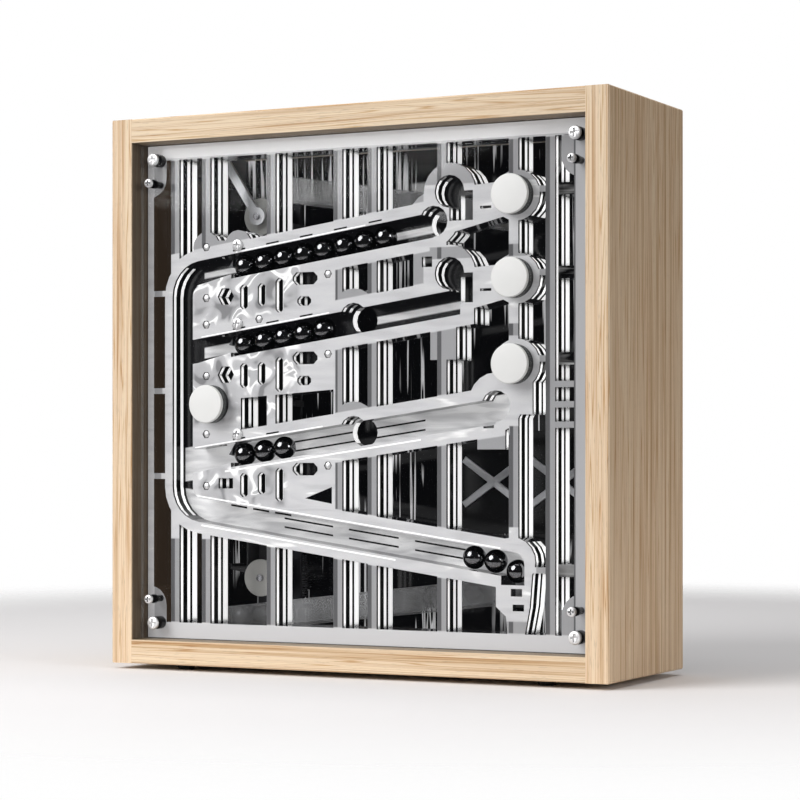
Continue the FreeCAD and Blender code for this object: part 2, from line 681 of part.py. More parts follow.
def back():
    """Back panel, its screws, the power inlet and the control box."""
    panel = box("back_sheet", "2*(%s-plate_gap)" % HALF_OPEN, "back_thick",
                "case_height-2*board-2*plate_gap", "-%s+plate_gap" % HALF_OPEN, BACK_Y,
                "foot_height+board+plate_gap")
    holes, screws = [], []
    for i, side in enumerate((-1, 1)):
        for j, z in enumerate(("foot_height+board+post/2",
                               "foot_height+case_height-board-post/2")):
            x = "%d*(%s-post/2)" % (side, HALF_OPEN)
            holes.append(peg("back_hole_%d%d" % (i, j), "screw_shank+hole_gap", "back_thick",
                             x, BACK_Y, z))
            shank = peg("back_shank_%d%d" % (i, j), "screw_shank", "back_thick+post-1", x,
                        BACK_Y + "-post+1", z)
            head = peg("back_head_%d%d" % (i, j), "screw_head", "head_height", x,
                       BACK_Y + "+back_thick", z, 8)
            screws.append(join("back_screw_%d%d" % (i, j), [shank, head]))
    inlet_z = "foot_height+inlet_z"
    holes.append(peg("inlet_hole", "inlet_radius+hole_gap", "back_thick", INLET_X, BACK_Y,
                     inlet_z, 16))
    keep("back_panel", cut("back_cut", panel, holes))
    keep("back_screws", group("back_screw_set", screws))
    barrel = peg("inlet_barrel", "inlet_radius", "back_thick+inlet_length", INLET_X,
                 BACK_Y + "-inlet_length", inlet_z, 16)
    collar = peg("inlet_collar", "inlet_radius+inlet_wall", "inlet_wall", INLET_X,
                 BACK_Y + "+back_thick", inlet_z, 16)
    socket = peg("inlet_socket", "pin_bore", "inlet_length", INLET_X,
                 BACK_Y + "+back_thick+inlet_wall-inlet_length", inlet_z, 12)
    keep("power_inlet", cut("inlet", join("inlet_body", [barrel, collar]), [socket]))
    control()


def control():
    """The control box with its circuit board, and the crossed straps in front of it."""
    cover = box("box_cover", "box_width", "box_thick", "box_height", BOX_X,
                BACK_Y + "-box_thick", "foot_height+box_z")
    hollow = box("box_hollow", "box_width-2*wall", "box_thick-wall", "box_height-2*wall",
                 BOX_X + "+wall", BACK_Y + "-box_thick+wall", "foot_height+box_z+wall")
    keep("control_box", cut("box_shell", cover, [hollow]))
    keep("control_board", box("board_sheet", "box_width-2*board_inset", "board_thick",
                              "box_height-2*board_inset", BOX_X + "+board_inset",
                              BACK_Y + "-leg_height-board_thick",
                              "foot_height+box_z+board_inset"))
    near, far = "board_inset+2", "board_inset-2-leg_side"
    legs = []
    for i, x in enumerate((BOX_X + "+" + near, BOX_X + "+box_width-2*board_inset+" + far)):
        for j, z in enumerate(("box_z+" + near, "box_z+box_height-2*board_inset+" + far)):
            legs.append(box("board_leg_%d%d" % (i, j), "leg_side", "leg_height", "leg_side",
                            x, BACK_Y + "-leg_height", "foot_height+" + z))
    keep("board_spacers", group("board_legs", legs))
    crosses = []
    middle_x = number(BOX_X) + size("box_width") / 2
    middle_z = size("box_z") + size("box_height") / 2
    for i, side in enumerate((-1, 1)):
        bars = []
        for j, angle in enumerate((size("brace_angle"), -size("brace_angle"))):
            bar = box("cross_%d%d" % (i, j), "brace_length", "brace_thick", "brace_width",
                      "0", "0", "0")
            bar.Placement.Rotation = turn = FreeCAD.Rotation(Vector(0, 1, 0), angle)
            middle = turn.multVec(Vector(size("brace_length") / 2, 0, size("brace_width") / 2))
            place(bar, "%f+%d*brace_pitch/2" % (middle_x - middle.x, side),
                  BACK_Y + "-box_thick-brace_thick",
                  "foot_height+%f" % (middle_z - middle.z))
            bars.append(bar)
        crosses.append(join("cross_%d" % i, bars))
    keep("cross_braces", group("cross_set", crosses))


def front_hardware():
    """Clear front cover with its screws and spacers, and the studs of the stack."""
    sheet_cover = box("cover_sheet", "2*(%s-plate_gap)" % HALF_OPEN, "cover_thick",
                      "case_height-2*board-2*plate_gap", "-%s+plate_gap" % HALF_OPEN,
                      COVER_Y, "foot_height+board+plate_gap")
    holes, screws, spacers, studs = [], [], [], []
    for i, side in enumerate((-1, 1)):
        x = "%d*%s" % (side, SCREW_X)
        for j in range(2):
            tag = "%d%d" % (i, j)
            z = (LOW_SCREW_Z, HIGH_SCREW_Z)[j]
            stud_z = (LOW_STUD_Z, HIGH_STUD_Z)[j]
            holes.append(peg("cover_hole_" + tag, "screw_shank+hole_gap", "cover_thick", x,
                             COVER_Y, z))
            holes.append(peg("stud_hole_" + tag, "stud_head+hole_gap", "cover_thick", x,
                             COVER_Y, stud_z, 8))
            shank = peg("cover_shank_" + tag, "screw_shank",
                        STACK_BACK + "-" + COVER_Y + "+post-1", x, COVER_Y, z)
            head = peg("cover_head_" + tag, "screw_head", "head_height", x,
                       COVER_Y + "-head_height", z, 12)
            screws.append(join("cover_screw_" + tag, [shank, head]))
            sleeve = peg("sleeve_" + tag, "screw_head", "spacer_length", x, SPACER_Y, z, 8)
            bore = peg("sleeve_bore_" + tag, "screw_shank+hole_gap", "spacer_length", x,
                       SPACER_Y, z)
            spacers.append(cut("spacer_" + tag, sleeve, [bore]))
            stem = peg("stud_stem_" + tag, "screw_shank", STACK_BACK + "-" + PLATE_Y, x,
                       PLATE_Y, stud_z)
            tall = peg("stud_head_" + tag, "stud_head", "stud_reach", x,
                       PLATE_Y + "-stud_reach", stud_z, 8)
            studs.append(join("stud_" + tag, [stem, tall]))
    for name, (x, z) in buttons().items():
        holes.append(peg("cover_bore_" + name, "button_radius+button_fit", "cover_thick",
                         "%f" % x, COVER_Y, "foot_height+%f" % z, 16))
    keep("front_cover", cut("cover_cut", sheet_cover, holes))
    keep("cover_screws", group("cover_screw_set", screws))
    keep("cover_spacers", group("spacer_set", spacers))
    keep("stack_studs", group("stud_set", studs))
    small = [peg("pin_%d" % i, "pin_radius", "front_thick+channel_thick+0.3", "%f" % x,
                 PLATE_Y + "-0.3", "foot_height+%f" % z) for i, (x, z) in enumerate(pins())]
    keep("dowel_pins", group("pin_set", small))


def push_buttons():
    """Four push buttons: a barrel with a stem, a pale cap and a rubber return bush."""
    bushes = []
    for name, (x, z) in buttons().items():
        front = "(-case_depth/2+button_front+cap_thick)"
        height = "foot_height+%f" % z
        barrel = peg("barrel_" + name, "button_radius",
                     "%s-bush_thick-button_travel-0.3-%s" % (PLATE_Y, front), "%f" % x, front,
                     height, 16)
        stem = peg("stem_" + name, "stem_radius", "%s-%s" % (STACK_BACK, front), "%f" % x,
                   front, height)
        keep(name + "_button", join("button_" + name, [barrel, stem]))
        cap = peg("cap_" + name, "button_radius", "cap_thick", "%f" % x,
                  "-case_depth/2+button_front", height, 16)
        keep(name + "_button_cap", cap)
        ring = peg("ring_" + name, "button_radius-1", "bush_thick", "%f" % x,
                   PLATE_Y + "-bush_thick", height, 8)
        hole = peg("ring_hole_" + name, "button_radius-4", "bush_thick", "%f" % x,
                   PLATE_Y + "-bush_thick", height)
        bushes.append(cut("bush_" + name, ring, [hole]))
    keep("button_bushes", group("bush_set", bushes))


def gates():
    """Three gates that hold the display rows back, and their pivot screws."""
    screws = []
    gap = 0.3
    for name, track in DISPLAY.items():
        x, z = gate_centre(track)
        reach = track[0] - ball - 0.35 - x
        tip_z = on_line(track, track[0] - ball) + 0.6
        lever = poly([(x + 1.5, z - 2.5), (x - 2.5, z - 2.0), (x + reach - 2.6, tip_z),
                      (x + reach, tip_z - 0.6), (x + reach + 0.2, tip_z + 3.4)])
        y, depth = channel_y + gap, size("channel_thick") - 2 * gap
        hub = thick(ngon(x, z, size("gate_hub"), 12), y, depth)
        bore = Part.makeCylinder(size("screw_shank") + size("run_gap"), depth,
                                 Vector(x, y, z + foot), Vector(0, 1, 0))
        body = thick(lever, y, depth).fuse(hub).cut(bore)
        made(name + "_gate", body.removeSplitter())
        length = number("%s-%s" % (STACK_BACK, PLATE_Y))
        shank = thick(ngon(x, z, size("screw_shank")), plate_y, length)
        head = thick(ngon(x, z, size("gate_screw_head"), 8), plate_y - size("head_height"),
                     size("head_height"))
        screws.append(shank.fuse(head).removeSplitter())
    made("gate_screws", Part.makeCompound(screws))


# ---------------------------------------------------------------- balls

def ball_shape(x, y, z):
    """A ball with flat facets between ten meridians, around its centre."""
    around, bands = 10, 4
    rings = []
    for i in range(1, bands):
        a = math.pi * i / bands
        rings.append([Vector(ball * math.sin(a) * math.cos(2 * math.pi * j / around),
                             ball * math.sin(a) * math.sin(2 * math.pi * j / around),
                             ball * math.cos(a)) for j in range(around)])
    faces = []
    for j in range(around):
        k = (j + 1) % around
        top, low = Vector(0, 0, ball), Vector(0, 0, -ball)
        faces.append(Part.Face(Part.makePolygon([top, rings[0][j], rings[0][k], top])))
        faces.append(Part.Face(Part.makePolygon([low, rings[-1][k], rings[-1][j], low])))
        for upper, lower in zip(rings, rings[1:]):
            corners = [upper[j], lower[j], lower[k], upper[k], upper[j]]
            faces.append(Part.Face(Part.makePolygon(corners)))
    solid = Part.Solid(Part.makeShell(faces))
    solid.translate(Vector(x, y, z + foot))
    return solid


def row(track, count, first=0, step=1):
    """Balls in a row along a track, touching their neighbours."""
    pitch = size("ball_pitch") * lean * step
    places = [track[0] + pitch * (first + i) for i in range(count)]
    return Part.makeCompound([ball_shape(x, ball_y, on_line(track, x)) for x in places])


def ball_rows():
    """The balls that show the time, the waiting balls and those on the low ramp."""
    made("minutes_balls", row(MINUTES, 8))
    made("tens_balls", row(TENS, 5))
    made("hours_balls", row(HOURS, 3))
    made("feed_balls", row(FEED, 2))
    made("drop_ball", ball_shape(drop_x, ball_y, size("drop_z")))
    low = low_floor()
    rise = floor_gap / math.cos(math.atan(low[2]))
    places = [low[0] + 9 + size("ball_pitch") * i for i in range(3)]
    places += [drop_x - 5.4 * size("ball_pitch"), drop_x - 3.4 * size("ball_pitch")]
    made("waiting_balls", Part.makeCompound(
        [ball_shape(x, lift_y, on_line(low, x) + rise) for x in places]))


# ---------------------------------------------------------------- lift and ramps

def low_floor():
    """Floor line of the low ramp, falling to the left."""
    x0, z0 = lift_x - size("low_end"), size("low_end_z")
    z1 = size("outlet_z") - floor_gap - 0.6
    return x0, z0, (z1 - z0) / (drop_x - x0)


def top_floor():
    """Floor line of the top ramp, falling to the right."""
    x0 = lift_x + size("top_start")
    z0 = number(TOP_PULLEY_Z) - foot + size("top_start_rise")
    entry_x, entry_z = entries()[0]
    return x0, z0, (entry_z - floor_gap - 0.6 - z0) / (entry_x - x0)


def trough(line, x0, x1, spout_x):
    """A ramp: a trough along the back, with a spout that meets the rear plate."""
    wall, side = size("wall"), size("trough_side")
    half = ball + 0.6
    outer = half + wall
    z = [on_line(line, x) for x in (x0, x1)]
    shell = thick(poly([(x0, z[0] - wall), (x1, z[1] - wall), (x1, z[1] + side),
                        (x0, z[0] + side)]), lift_y - outer, 2 * outer)
    floor = [(x, on_line(line, x)) for x in (x0 + wall, x1 - wall)]
    hollow = thick(poly(floor + [(x1 - wall, z[1] + side + 9), (x0 + wall, z[0] + side + 9)]),
                   lift_y - half, 2 * half)
    spout_z = on_line(line, spout_x)
    mouth = thick(rect(spout_x - outer, spout_z - wall, spout_x + outer, spout_z + side),
                  stack_back, lift_y - outer - stack_back + 0.5)
    passage = thick(rect(spout_x - half, spout_z, spout_x + half, spout_z + side + 9),
                    stack_back - 1, lift_y - half - stack_back + 3)
    lug_x = (x0 + x1) / 2
    lug_z = on_line(line, lug_x)
    lug = thick(rect(lug_x - 4, lug_z - wall + 1, lug_x + 4, lug_z + side - 1),
                lift_y + outer - 0.5, back_y - lift_y - outer + 0.5)
    return shell.fuse([mouth, lug]).cut([hollow, passage]).removeSplitter()


def ramps():
    """Low ramp from the feed track to the lift, top ramp from the lift to the entry."""
    low, top, entry_x = low_floor(), top_floor(), entries()[0][0]
    made("low_ramp", trough(low, low[0], drop_x + 8.6, drop_x))
    made("top_ramp", trough(top, top[0], entry_x + 8.6, entry_x))


def lift():
    """Belt lift: bracket, motor, two pulleys, axle and belt with cups."""
    x, y = LIFT_X, LIFT_Y
    web_y = "(-case_depth/2+web_depth)"
    low, high = "foot_height+low_pulley_z-18", TOP_PULLEY_Z + "+13"
    web = box("bracket_web", "web_width", "web_thick", "%s-(%s)" % (high, low),
              x + "-web_width/2", web_y, low)
    feet = [box("bracket_foot_%d" % i, "web_width", "%s-%s" % (BACK_Y, web_y), "web_thick",
                x + "-web_width/2", web_y, z)
            for i, z in enumerate((low, high + "-web_thick"))]
    bore = peg("bracket_bore", "shaft_radius+1", "web_thick", x, web_y,
               "foot_height+low_pulley_z", 12)
    top_bore = peg("bracket_top_bore", "shaft_radius", "web_thick", x, web_y,
                   TOP_PULLEY_Z, 12)
    keep("lift_bracket", cut("bracket", join("bracket_body", [web] + feet), [bore, top_bore]))
    gearbox = box("gearbox", "motor_size", "gearbox_length", "motor_size",
                  x + "-motor_size/2", web_y + "+web_thick",
                  "foot_height+low_pulley_z-motor_size/2")
    can = rod("motor_can", "motor_size/2-1.5", "%s-%s-web_thick-gearbox_length-0.2"
              % (BACK_Y, web_y), x, web_y + "+web_thick+gearbox_length",
              "foot_height+low_pulley_z")
    shaft_hole = peg("motor_bore", "shaft_radius+run_gap", "gearbox_length", x,
                     web_y + "+web_thick", "foot_height+low_pulley_z", 12)
    keep("lift_motor", cut("motor", join("motor_body", [gearbox, can]), [shaft_hole]))
    keep("top_axle", peg("top_axle_rod", "shaft_radius", "%s+web_thick-%s+1"
                         % (web_y, ARM_Y), x, ARM_Y + "-1", TOP_PULLEY_Z, 12))
    made("tension_arm", arm_shape())
    keep("arm_standoff", peg("arm_post_rod", "arm_post", "%s-%s" % (ARM_Y, STACK_BACK),
                             ARM_X, STACK_BACK, ARM_Z, 12))
    low_z = "foot_height+low_pulley_z"
    for name, z in (("top", TOP_PULLEY_Z), ("low", low_z)):
        hub = peg(name + "_hub", "pulley_radius-belt_thick/2", "belt_width+2*rim_gap", x,
                  y + "-belt_width/2-rim_gap", z, 16)
        rims = [peg(name + "_rim_%d" % i, "pulley_radius+belt_thick", "flange", x,
                    y + side, z, 16)
                for i, side in enumerate(("-belt_width/2-rim_gap-flange",
                                          "+belt_width/2+rim_gap"))]
        body = join(name + "_pulley_body", [hub] + rims)
        bore_place = ("belt_width+8", x, y + "-belt_width/2-4", z)
        if name == "top":
            bore = rod("top_hub_bore", "shaft_radius+run_gap", *bore_place)
        else:
            bore = peg("low_hub_bore", "shaft_radius", *bore_place, 12)
        keep(name + "_pulley", cut(name + "_pulley_cut", body, [bore]))
    keep("drive_shaft", peg("low_shaft", "shaft_radius", "%s+web_thick+gearbox_length-1-%s"
                            "+belt_width/2+3" % (web_y, y), x, y + "-belt_width/2-3", low_z, 12))
    made("lift_belt", belt_shape())


def arm_shape():
    """A flat arm that holds the front end of the upper axle, from a post on the stack."""
    x, z = lift_x, number(TOP_PULLEY_Z) - foot
    end_x, end_z = number(ARM_X), number(ARM_Z) - foot
    length = math.hypot(x - end_x, z - end_z)
    across = size("arm_width") / 2 / length
    side_x, side_z = (end_z - z) * across, (x - end_x) * across
    bar = poly([(x + side_x, z + side_z), (end_x + side_x, end_z + side_z),
                (end_x - side_x, end_z - side_z), (x - side_x, z - side_z)])
    ends = [disc(x, z, size("arm_eye")), disc(end_x, end_z, size("arm_post"))]
    outline = bar.fuse(ends).removeSplitter().cut(ngon(x, z, size("shaft_radius"), 12))
    return thick(outline, number(ARM_Y), size("arm_thick"))


def belt_shape():
    """A belt round both pulleys, with cups that carry the balls up on the left."""
    x, r = lift_x, size("pulley_radius")
    low, high = size("low_pulley_z"), number(TOP_PULLEY_Z) - foot
    outer, inner = r + size("belt_thick") / 2 + 0.2, r - size("belt_thick") / 2 + 0.35
    loop = rect(x - outer, low, x + outer, high)
    loop = loop.fuse([disc(x, low, outer), disc(x, high, outer)])
    hole = rect(x - inner, low, x + inner, high)
    hole = hole.fuse([disc(x, low, inner), disc(x, high, inner)])
    width, reach, thin = size("belt_width"), size("cup_reach"), size("cup_thick")
    ring = thick(loop.removeSplitter().cut(hole.removeSplitter()), lift_y - width / 2, width)
    cups = []
    count = int((high - low) // size("cup_pitch"))
    for i in range(count):
        z = low + 6 + i * size("cup_pitch")
        left = poly([(x - outer + 0.4, z), (x - outer + 0.4, z - thin - 2),
                     (x - outer - reach, z - thin), (x - outer - reach, z + 1.5),
                     (x - outer - reach + thin, z)])
        z = high - 6 - i * size("cup_pitch")
        right = poly([(x + outer - 0.4, z), (x + outer - 0.4, z + thin + 2),
                      (x + outer + reach, z + thin), (x + outer + reach, z - 1.5),
                      (x + outer + reach - thin, z)])
        cups += [thick(left, lift_y - width / 2, width), thick(right, lift_y - width / 2, width)]
    return ring.fuse(cups).removeSplitter()


case()
back()
front_hardware()
plates()
push_buttons()
gates()
ball_rows()
ramps()
lift()
doc.recompute()

os.makedirs("parts", exist_ok=True)
for obj in doc.Objects:
    if "Invalid" in obj.State or "Error" in obj.State:
        raise RuntimeError("%s failed: %s" % (obj.Label, obj.State))
total = 0
for node, obj in nodes.items():
    shape = obj.Shape
    if shape.isNull() or not shape.isValid() or not shape.Solids:
        raise RuntimeError("%s has no valid solid" % node)
    shape.exportStep("parts/%s.step" % node)
    total += len(shape.Solids)
print("%d nodes, %d solids" % (len(nodes), total))
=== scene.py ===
import json
import logging
import math
from dataclasses import dataclass, field
from enum import Enum
from typing import ClassVar, NamedTuple

import bmesh
import bpy
import numpy as np
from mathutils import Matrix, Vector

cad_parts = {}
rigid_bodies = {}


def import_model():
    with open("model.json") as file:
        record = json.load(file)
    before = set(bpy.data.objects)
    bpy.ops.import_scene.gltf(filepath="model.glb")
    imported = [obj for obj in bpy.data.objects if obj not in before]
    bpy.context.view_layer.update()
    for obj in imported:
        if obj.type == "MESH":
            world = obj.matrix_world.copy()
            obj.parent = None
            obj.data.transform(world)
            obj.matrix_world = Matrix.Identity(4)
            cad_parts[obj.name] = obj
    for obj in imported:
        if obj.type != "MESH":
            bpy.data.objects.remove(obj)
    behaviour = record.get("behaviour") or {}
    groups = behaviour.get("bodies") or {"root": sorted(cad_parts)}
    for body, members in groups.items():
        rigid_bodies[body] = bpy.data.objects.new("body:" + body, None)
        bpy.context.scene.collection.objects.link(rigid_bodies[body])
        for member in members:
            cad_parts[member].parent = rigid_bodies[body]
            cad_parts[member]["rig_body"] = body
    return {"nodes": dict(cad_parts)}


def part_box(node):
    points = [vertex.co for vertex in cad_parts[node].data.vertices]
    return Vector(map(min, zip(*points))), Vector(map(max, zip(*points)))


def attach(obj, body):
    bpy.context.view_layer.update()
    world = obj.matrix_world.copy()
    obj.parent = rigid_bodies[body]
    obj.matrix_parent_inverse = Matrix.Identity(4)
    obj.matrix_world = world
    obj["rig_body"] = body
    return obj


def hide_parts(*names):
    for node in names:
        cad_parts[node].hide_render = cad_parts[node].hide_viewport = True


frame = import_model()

# Looks of the rolling ball clock: smooth turned and bent pieces over the solid frame,
# a finish for every piece, and a plain studio.  Lengths in metres, Y runs to the back.

LOG = logging.getLogger("rolling_ball_clock")
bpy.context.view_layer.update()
MM = 0.001
# Rounding of the edges of turned rods and rings.
ROD_EDGE, RING_EDGE = 0.3 * MM, 0.25 * MM
Array = np.ndarray


class Axis(Enum):
    """Direction in which a board's grain or a turned piece's axis runs."""

    X = 0
    Y = 1
    Z = 2


# ---------------------------------------------------------------- materials

def linear(colour: str) -> tuple[float, float, float, float]:
    """Turns an sRGB hex colour into linear light.

    Args:
        colour: six hex digits.

    Returns:
        Red, green, blue and an alpha of 1.
    """
    shares = [int(colour[i:i + 2], 16) / 255 for i in (0, 2, 4)]
    red, green, blue = (s / 12.92 if s <= 0.04045 else ((s + 0.055) / 1.055) ** 2.4
                        for s in shares)
    return red, green, blue, 1.0


def add(tree: bpy.types.NodeTree, kind: str, inputs: dict | None = None,
        stops: dict[float, str] | None = None, **settings: object) -> bpy.types.Node:
    """Adds one node with its settings and links.

    Args:
        tree: the material's or world's node tree.
        kind: the node's type without the word ShaderNode.
        inputs: value, node or output socket for each input's name or number.
        stops: place and hex colour of each stop, for a node that holds a ramp.
        settings: the node's own properties.

    Returns:
        The new node.
    """
    node = tree.nodes.new("ShaderNode" + kind)
    for key, value in settings.items():
        setattr(node, key, value)
    for key, value in (inputs or {}).items():
        if isinstance(value, bpy.types.Node):
            value = value.outputs[0]
        if isinstance(value, bpy.types.NodeSocket):
            tree.links.new(value, node.inputs[key])
        else:
            node.inputs[key].default_value = value
    if stops:
        ramp = node.color_ramp.elements
        while len(ramp) < len(stops):
            ramp.new(0.5)
        for element, (place, colour) in zip(ramp, sorted(stops.items())):
            element.position, element.color = place, linear(colour)
    return node


@dataclass(frozen=True)
class Finish:
    """A finish that is even but for a faint cloudiness and surface texture."""

    name: str
    slot: str
    colour: str
    roughness: float
    metallic: float = 0.0
    specular: float = 0.5
    cloud: float = 0.06
    cloud_mm: float = 9.0
    texture_mm: float = 0.6
    texture_height: float = 0.0

    def material(self) -> bpy.types.Material:
        """The material, made the first time that it is asked for."""
        known = bpy.data.materials.get(self.name)
        if known is not None:
            return known
        material = bpy.data.materials.new(self.name)
        material.use_nodes = True
        material.diffuse_color = linear(self.colour)
        shader = material.node_tree.nodes["Principled BSDF"]
        shader.inputs["Base Color"].default_value = linear(self.colour)
        shader.inputs["Roughness"].default_value = self.roughness
        shader.inputs["Metallic"].default_value = self.metallic
        shader.inputs["Specular IOR Level"].default_value = self.specular
        self.paint(material.node_tree, shader)
        return material

    def pattern(self, tree: bpy.types.NodeTree, size_mm: tuple[float, float, float],
                detail: float = 2.0, distortion: float = 0.0) -> bpy.types.NodeSocket:
        """Noise whose features have a size in millimetres along X, Y and Z.

        Args:
            tree: the material's node tree.
            size_mm: size of a feature along each axis.
            detail: octaves of the noise.
            distortion: how far the noise is bent.

        Returns:
            The noise's grey value.
        """
        place = add(tree, "TexCoord").outputs["Object"]
        scale = tuple(1 / (s * MM) for s in size_mm)
        mapped = add(tree, "Mapping", {"Vector": place, "Scale": scale})
        return add(tree, "TexNoise", {"Vector": mapped, "Scale": 1.0, "Detail": detail,
                                      "Distortion": distortion}).outputs[0]

    def paint(self, tree: bpy.types.NodeTree, shader: bpy.types.Node) -> None:
        """Adds the cloudiness and the surface texture.

        Args:
            tree: the material's node tree.
            shader: its Principled shader.
        """
        cloud = self.pattern(tree, (self.cloud_mm,) * 3)
        shade = add(tree, "MapRange", {"Value": cloud, "From Min": 0.3, "From Max": 0.7,
                                       "To Min": 1 - self.cloud, "To Max": 1.0})
        tone = add(tree, "Mix", {0: 1.0, 6: linear(self.colour), 7: shade},
                   data_type="RGBA", blend_type="MULTIPLY")
        tree.links.new(tone.outputs[2], shader.inputs["Base Color"])
        if self.texture_height:
            grit = self.pattern(tree, (self.texture_mm,) * 3)
            bump = add(tree, "Bump", {"Height": grit, "Strength": 0.5,
                                      "Distance": self.texture_height * MM})
            tree.links.new(bump.outputs[0], shader.inputs["Normal"])


@dataclass(frozen=True)
class Wood(Finish):
    """Planed ash under clear lacquer: pale tan with browner growth lines and fine pores."""

    along: Axis = Axis.Z
    line_mm: float = 1.2
    dark: str = "bf9b6f"
    pale: str = "ead5b6"
    growth: str = "d9bf9c"
    growth_step: float = 0.034
    growth_width: float = 0.013
    pore_mm: tuple[float, float] = (0.45, 7.0)
    # Share of light that the painted shade leaves on the faces inside the case.
    inner: float = 1.0

    def paint(self, tree: bpy.types.NodeTree, shader: bpy.types.Node) -> None:
        """Adds growth rings, grain lines and pores that run along the board, and painted shade
        inside the case.

        Args:
            tree: the material's node tree.
            shader: its Principled shader.
        """
        def stretched(across: float, along: float, detail: float, bend: float = 0.0
                      ) -> bpy.types.NodeSocket:
            """Noise drawn out along the grain."""
            size = [across] * 3
            size[self.along.value] = along
            return self.pattern(tree, tuple(size), detail, bend)

        rings = stretched(self.line_mm * 3.6, 420, 2, 0.3)
        growth = add(tree, "Math", {0: rings, 1: self.growth_step}, operation="PINGPONG")
        ringed = add(tree, "ValToRGB", {"Fac": growth},
                     stops={0.0: self.growth, self.growth_width: "ffffff"})
        lines = stretched(self.line_mm, 160, 3, 0.2)
        pores = stretched(*self.pore_mm, 2)
        mixed = add(tree, "Mix", {0: 0.6, 2: rings, 3: lines})
        tone = add(tree, "ValToRGB", {"Fac": mixed.outputs[0]},
                   stops={0.34: self.dark, 0.5: self.colour, 0.66: self.pale})
        open_pore = add(tree, "MapRange", {"Value": pores, "From Min": 0.28, "From Max": 0.4,
                                           "To Min": 0.8, "To Max": 1.0})
        colour = tone.outputs[0]
        for layer in (ringed, open_pore, self.inside(tree)):
            colour = add(tree, "Mix", {0: 1.0, 6: colour, 7: layer}, data_type="RGBA",
                         blend_type="MULTIPLY").outputs[2]
        tree.links.new(colour, shader.inputs["Base Color"])
        bump = add(tree, "Bump", {"Height": open_pore, "Strength": 0.35, "Distance": 0.1 * MM})
        tree.links.new(bump.outputs[0], shader.inputs["Normal"])

    def inside(self, tree: bpy.types.NodeTree) -> bpy.types.Node:
        """Painted shade on the faces inside the case.

        A point is inside where neither |x| nor the height's distance from the opening's
        middle is above half the opening, behind the rounded front rim.

        Args:
            tree: the material's node tree.

        Returns:
            A node that gives 1 outside and, inside, the share of light that the painted shade
            leaves.
        """
        wall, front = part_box("right_board")[0][:2]
        low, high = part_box("bottom_board")[1][2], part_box("top_board")[0][2]
        place = add(tree, "SeparateXYZ", {0: add(tree, "TexCoord").outputs["Object"]})
        rise = add(tree, "Math", {0: place.outputs["Z"], 1: (low + high) / 2},
                   operation="SUBTRACT")
        shares = []
        for value, limit in ((place.outputs["X"], wall), (rise, (high - low) / 2)):
            off = add(tree, "Math", {0: value}, operation="ABSOLUTE")
            shares.append(add(tree, "MapRange", {"Value": off, "From Min": limit + 0.1 * MM,
                                                 "From Max": limit + 0.3 * MM}))
        rim = add(tree, "MapRange", {"Value": place.outputs["Y"], "From Min": front + 1.4 * MM,
                                     "From Max": front + 0.2 * MM})
        beside = add(tree, "Math", {0: shares[0], 1: shares[1]}, operation="MAXIMUM")
        plain = add(tree, "Math", {0: beside, 1: rim}, operation="MAXIMUM")
        return add(tree, "MapRange", {"Value": plain, "To Min": self.inner, "To Max": 1.0})


@dataclass(frozen=True)
class Band:
    """A slanted strip of a plate: middle point, rise, half height and half length, in mm."""

    x: float
    z: float
    rise: float
    half: float
    reach: float


class Line(NamedTuple):
    """Slanted line of a plate: one of its points, in mm, and its rise."""

    x: float
    z: float
    rise: float

    def band(self, x: float, above: float, half: float, reach: float) -> Band:
        """A strip along the line, so many mm above it, with its middle at x."""
        return Band(x, self.z + (x - self.x) * self.rise + above, self.rise, half, reach)


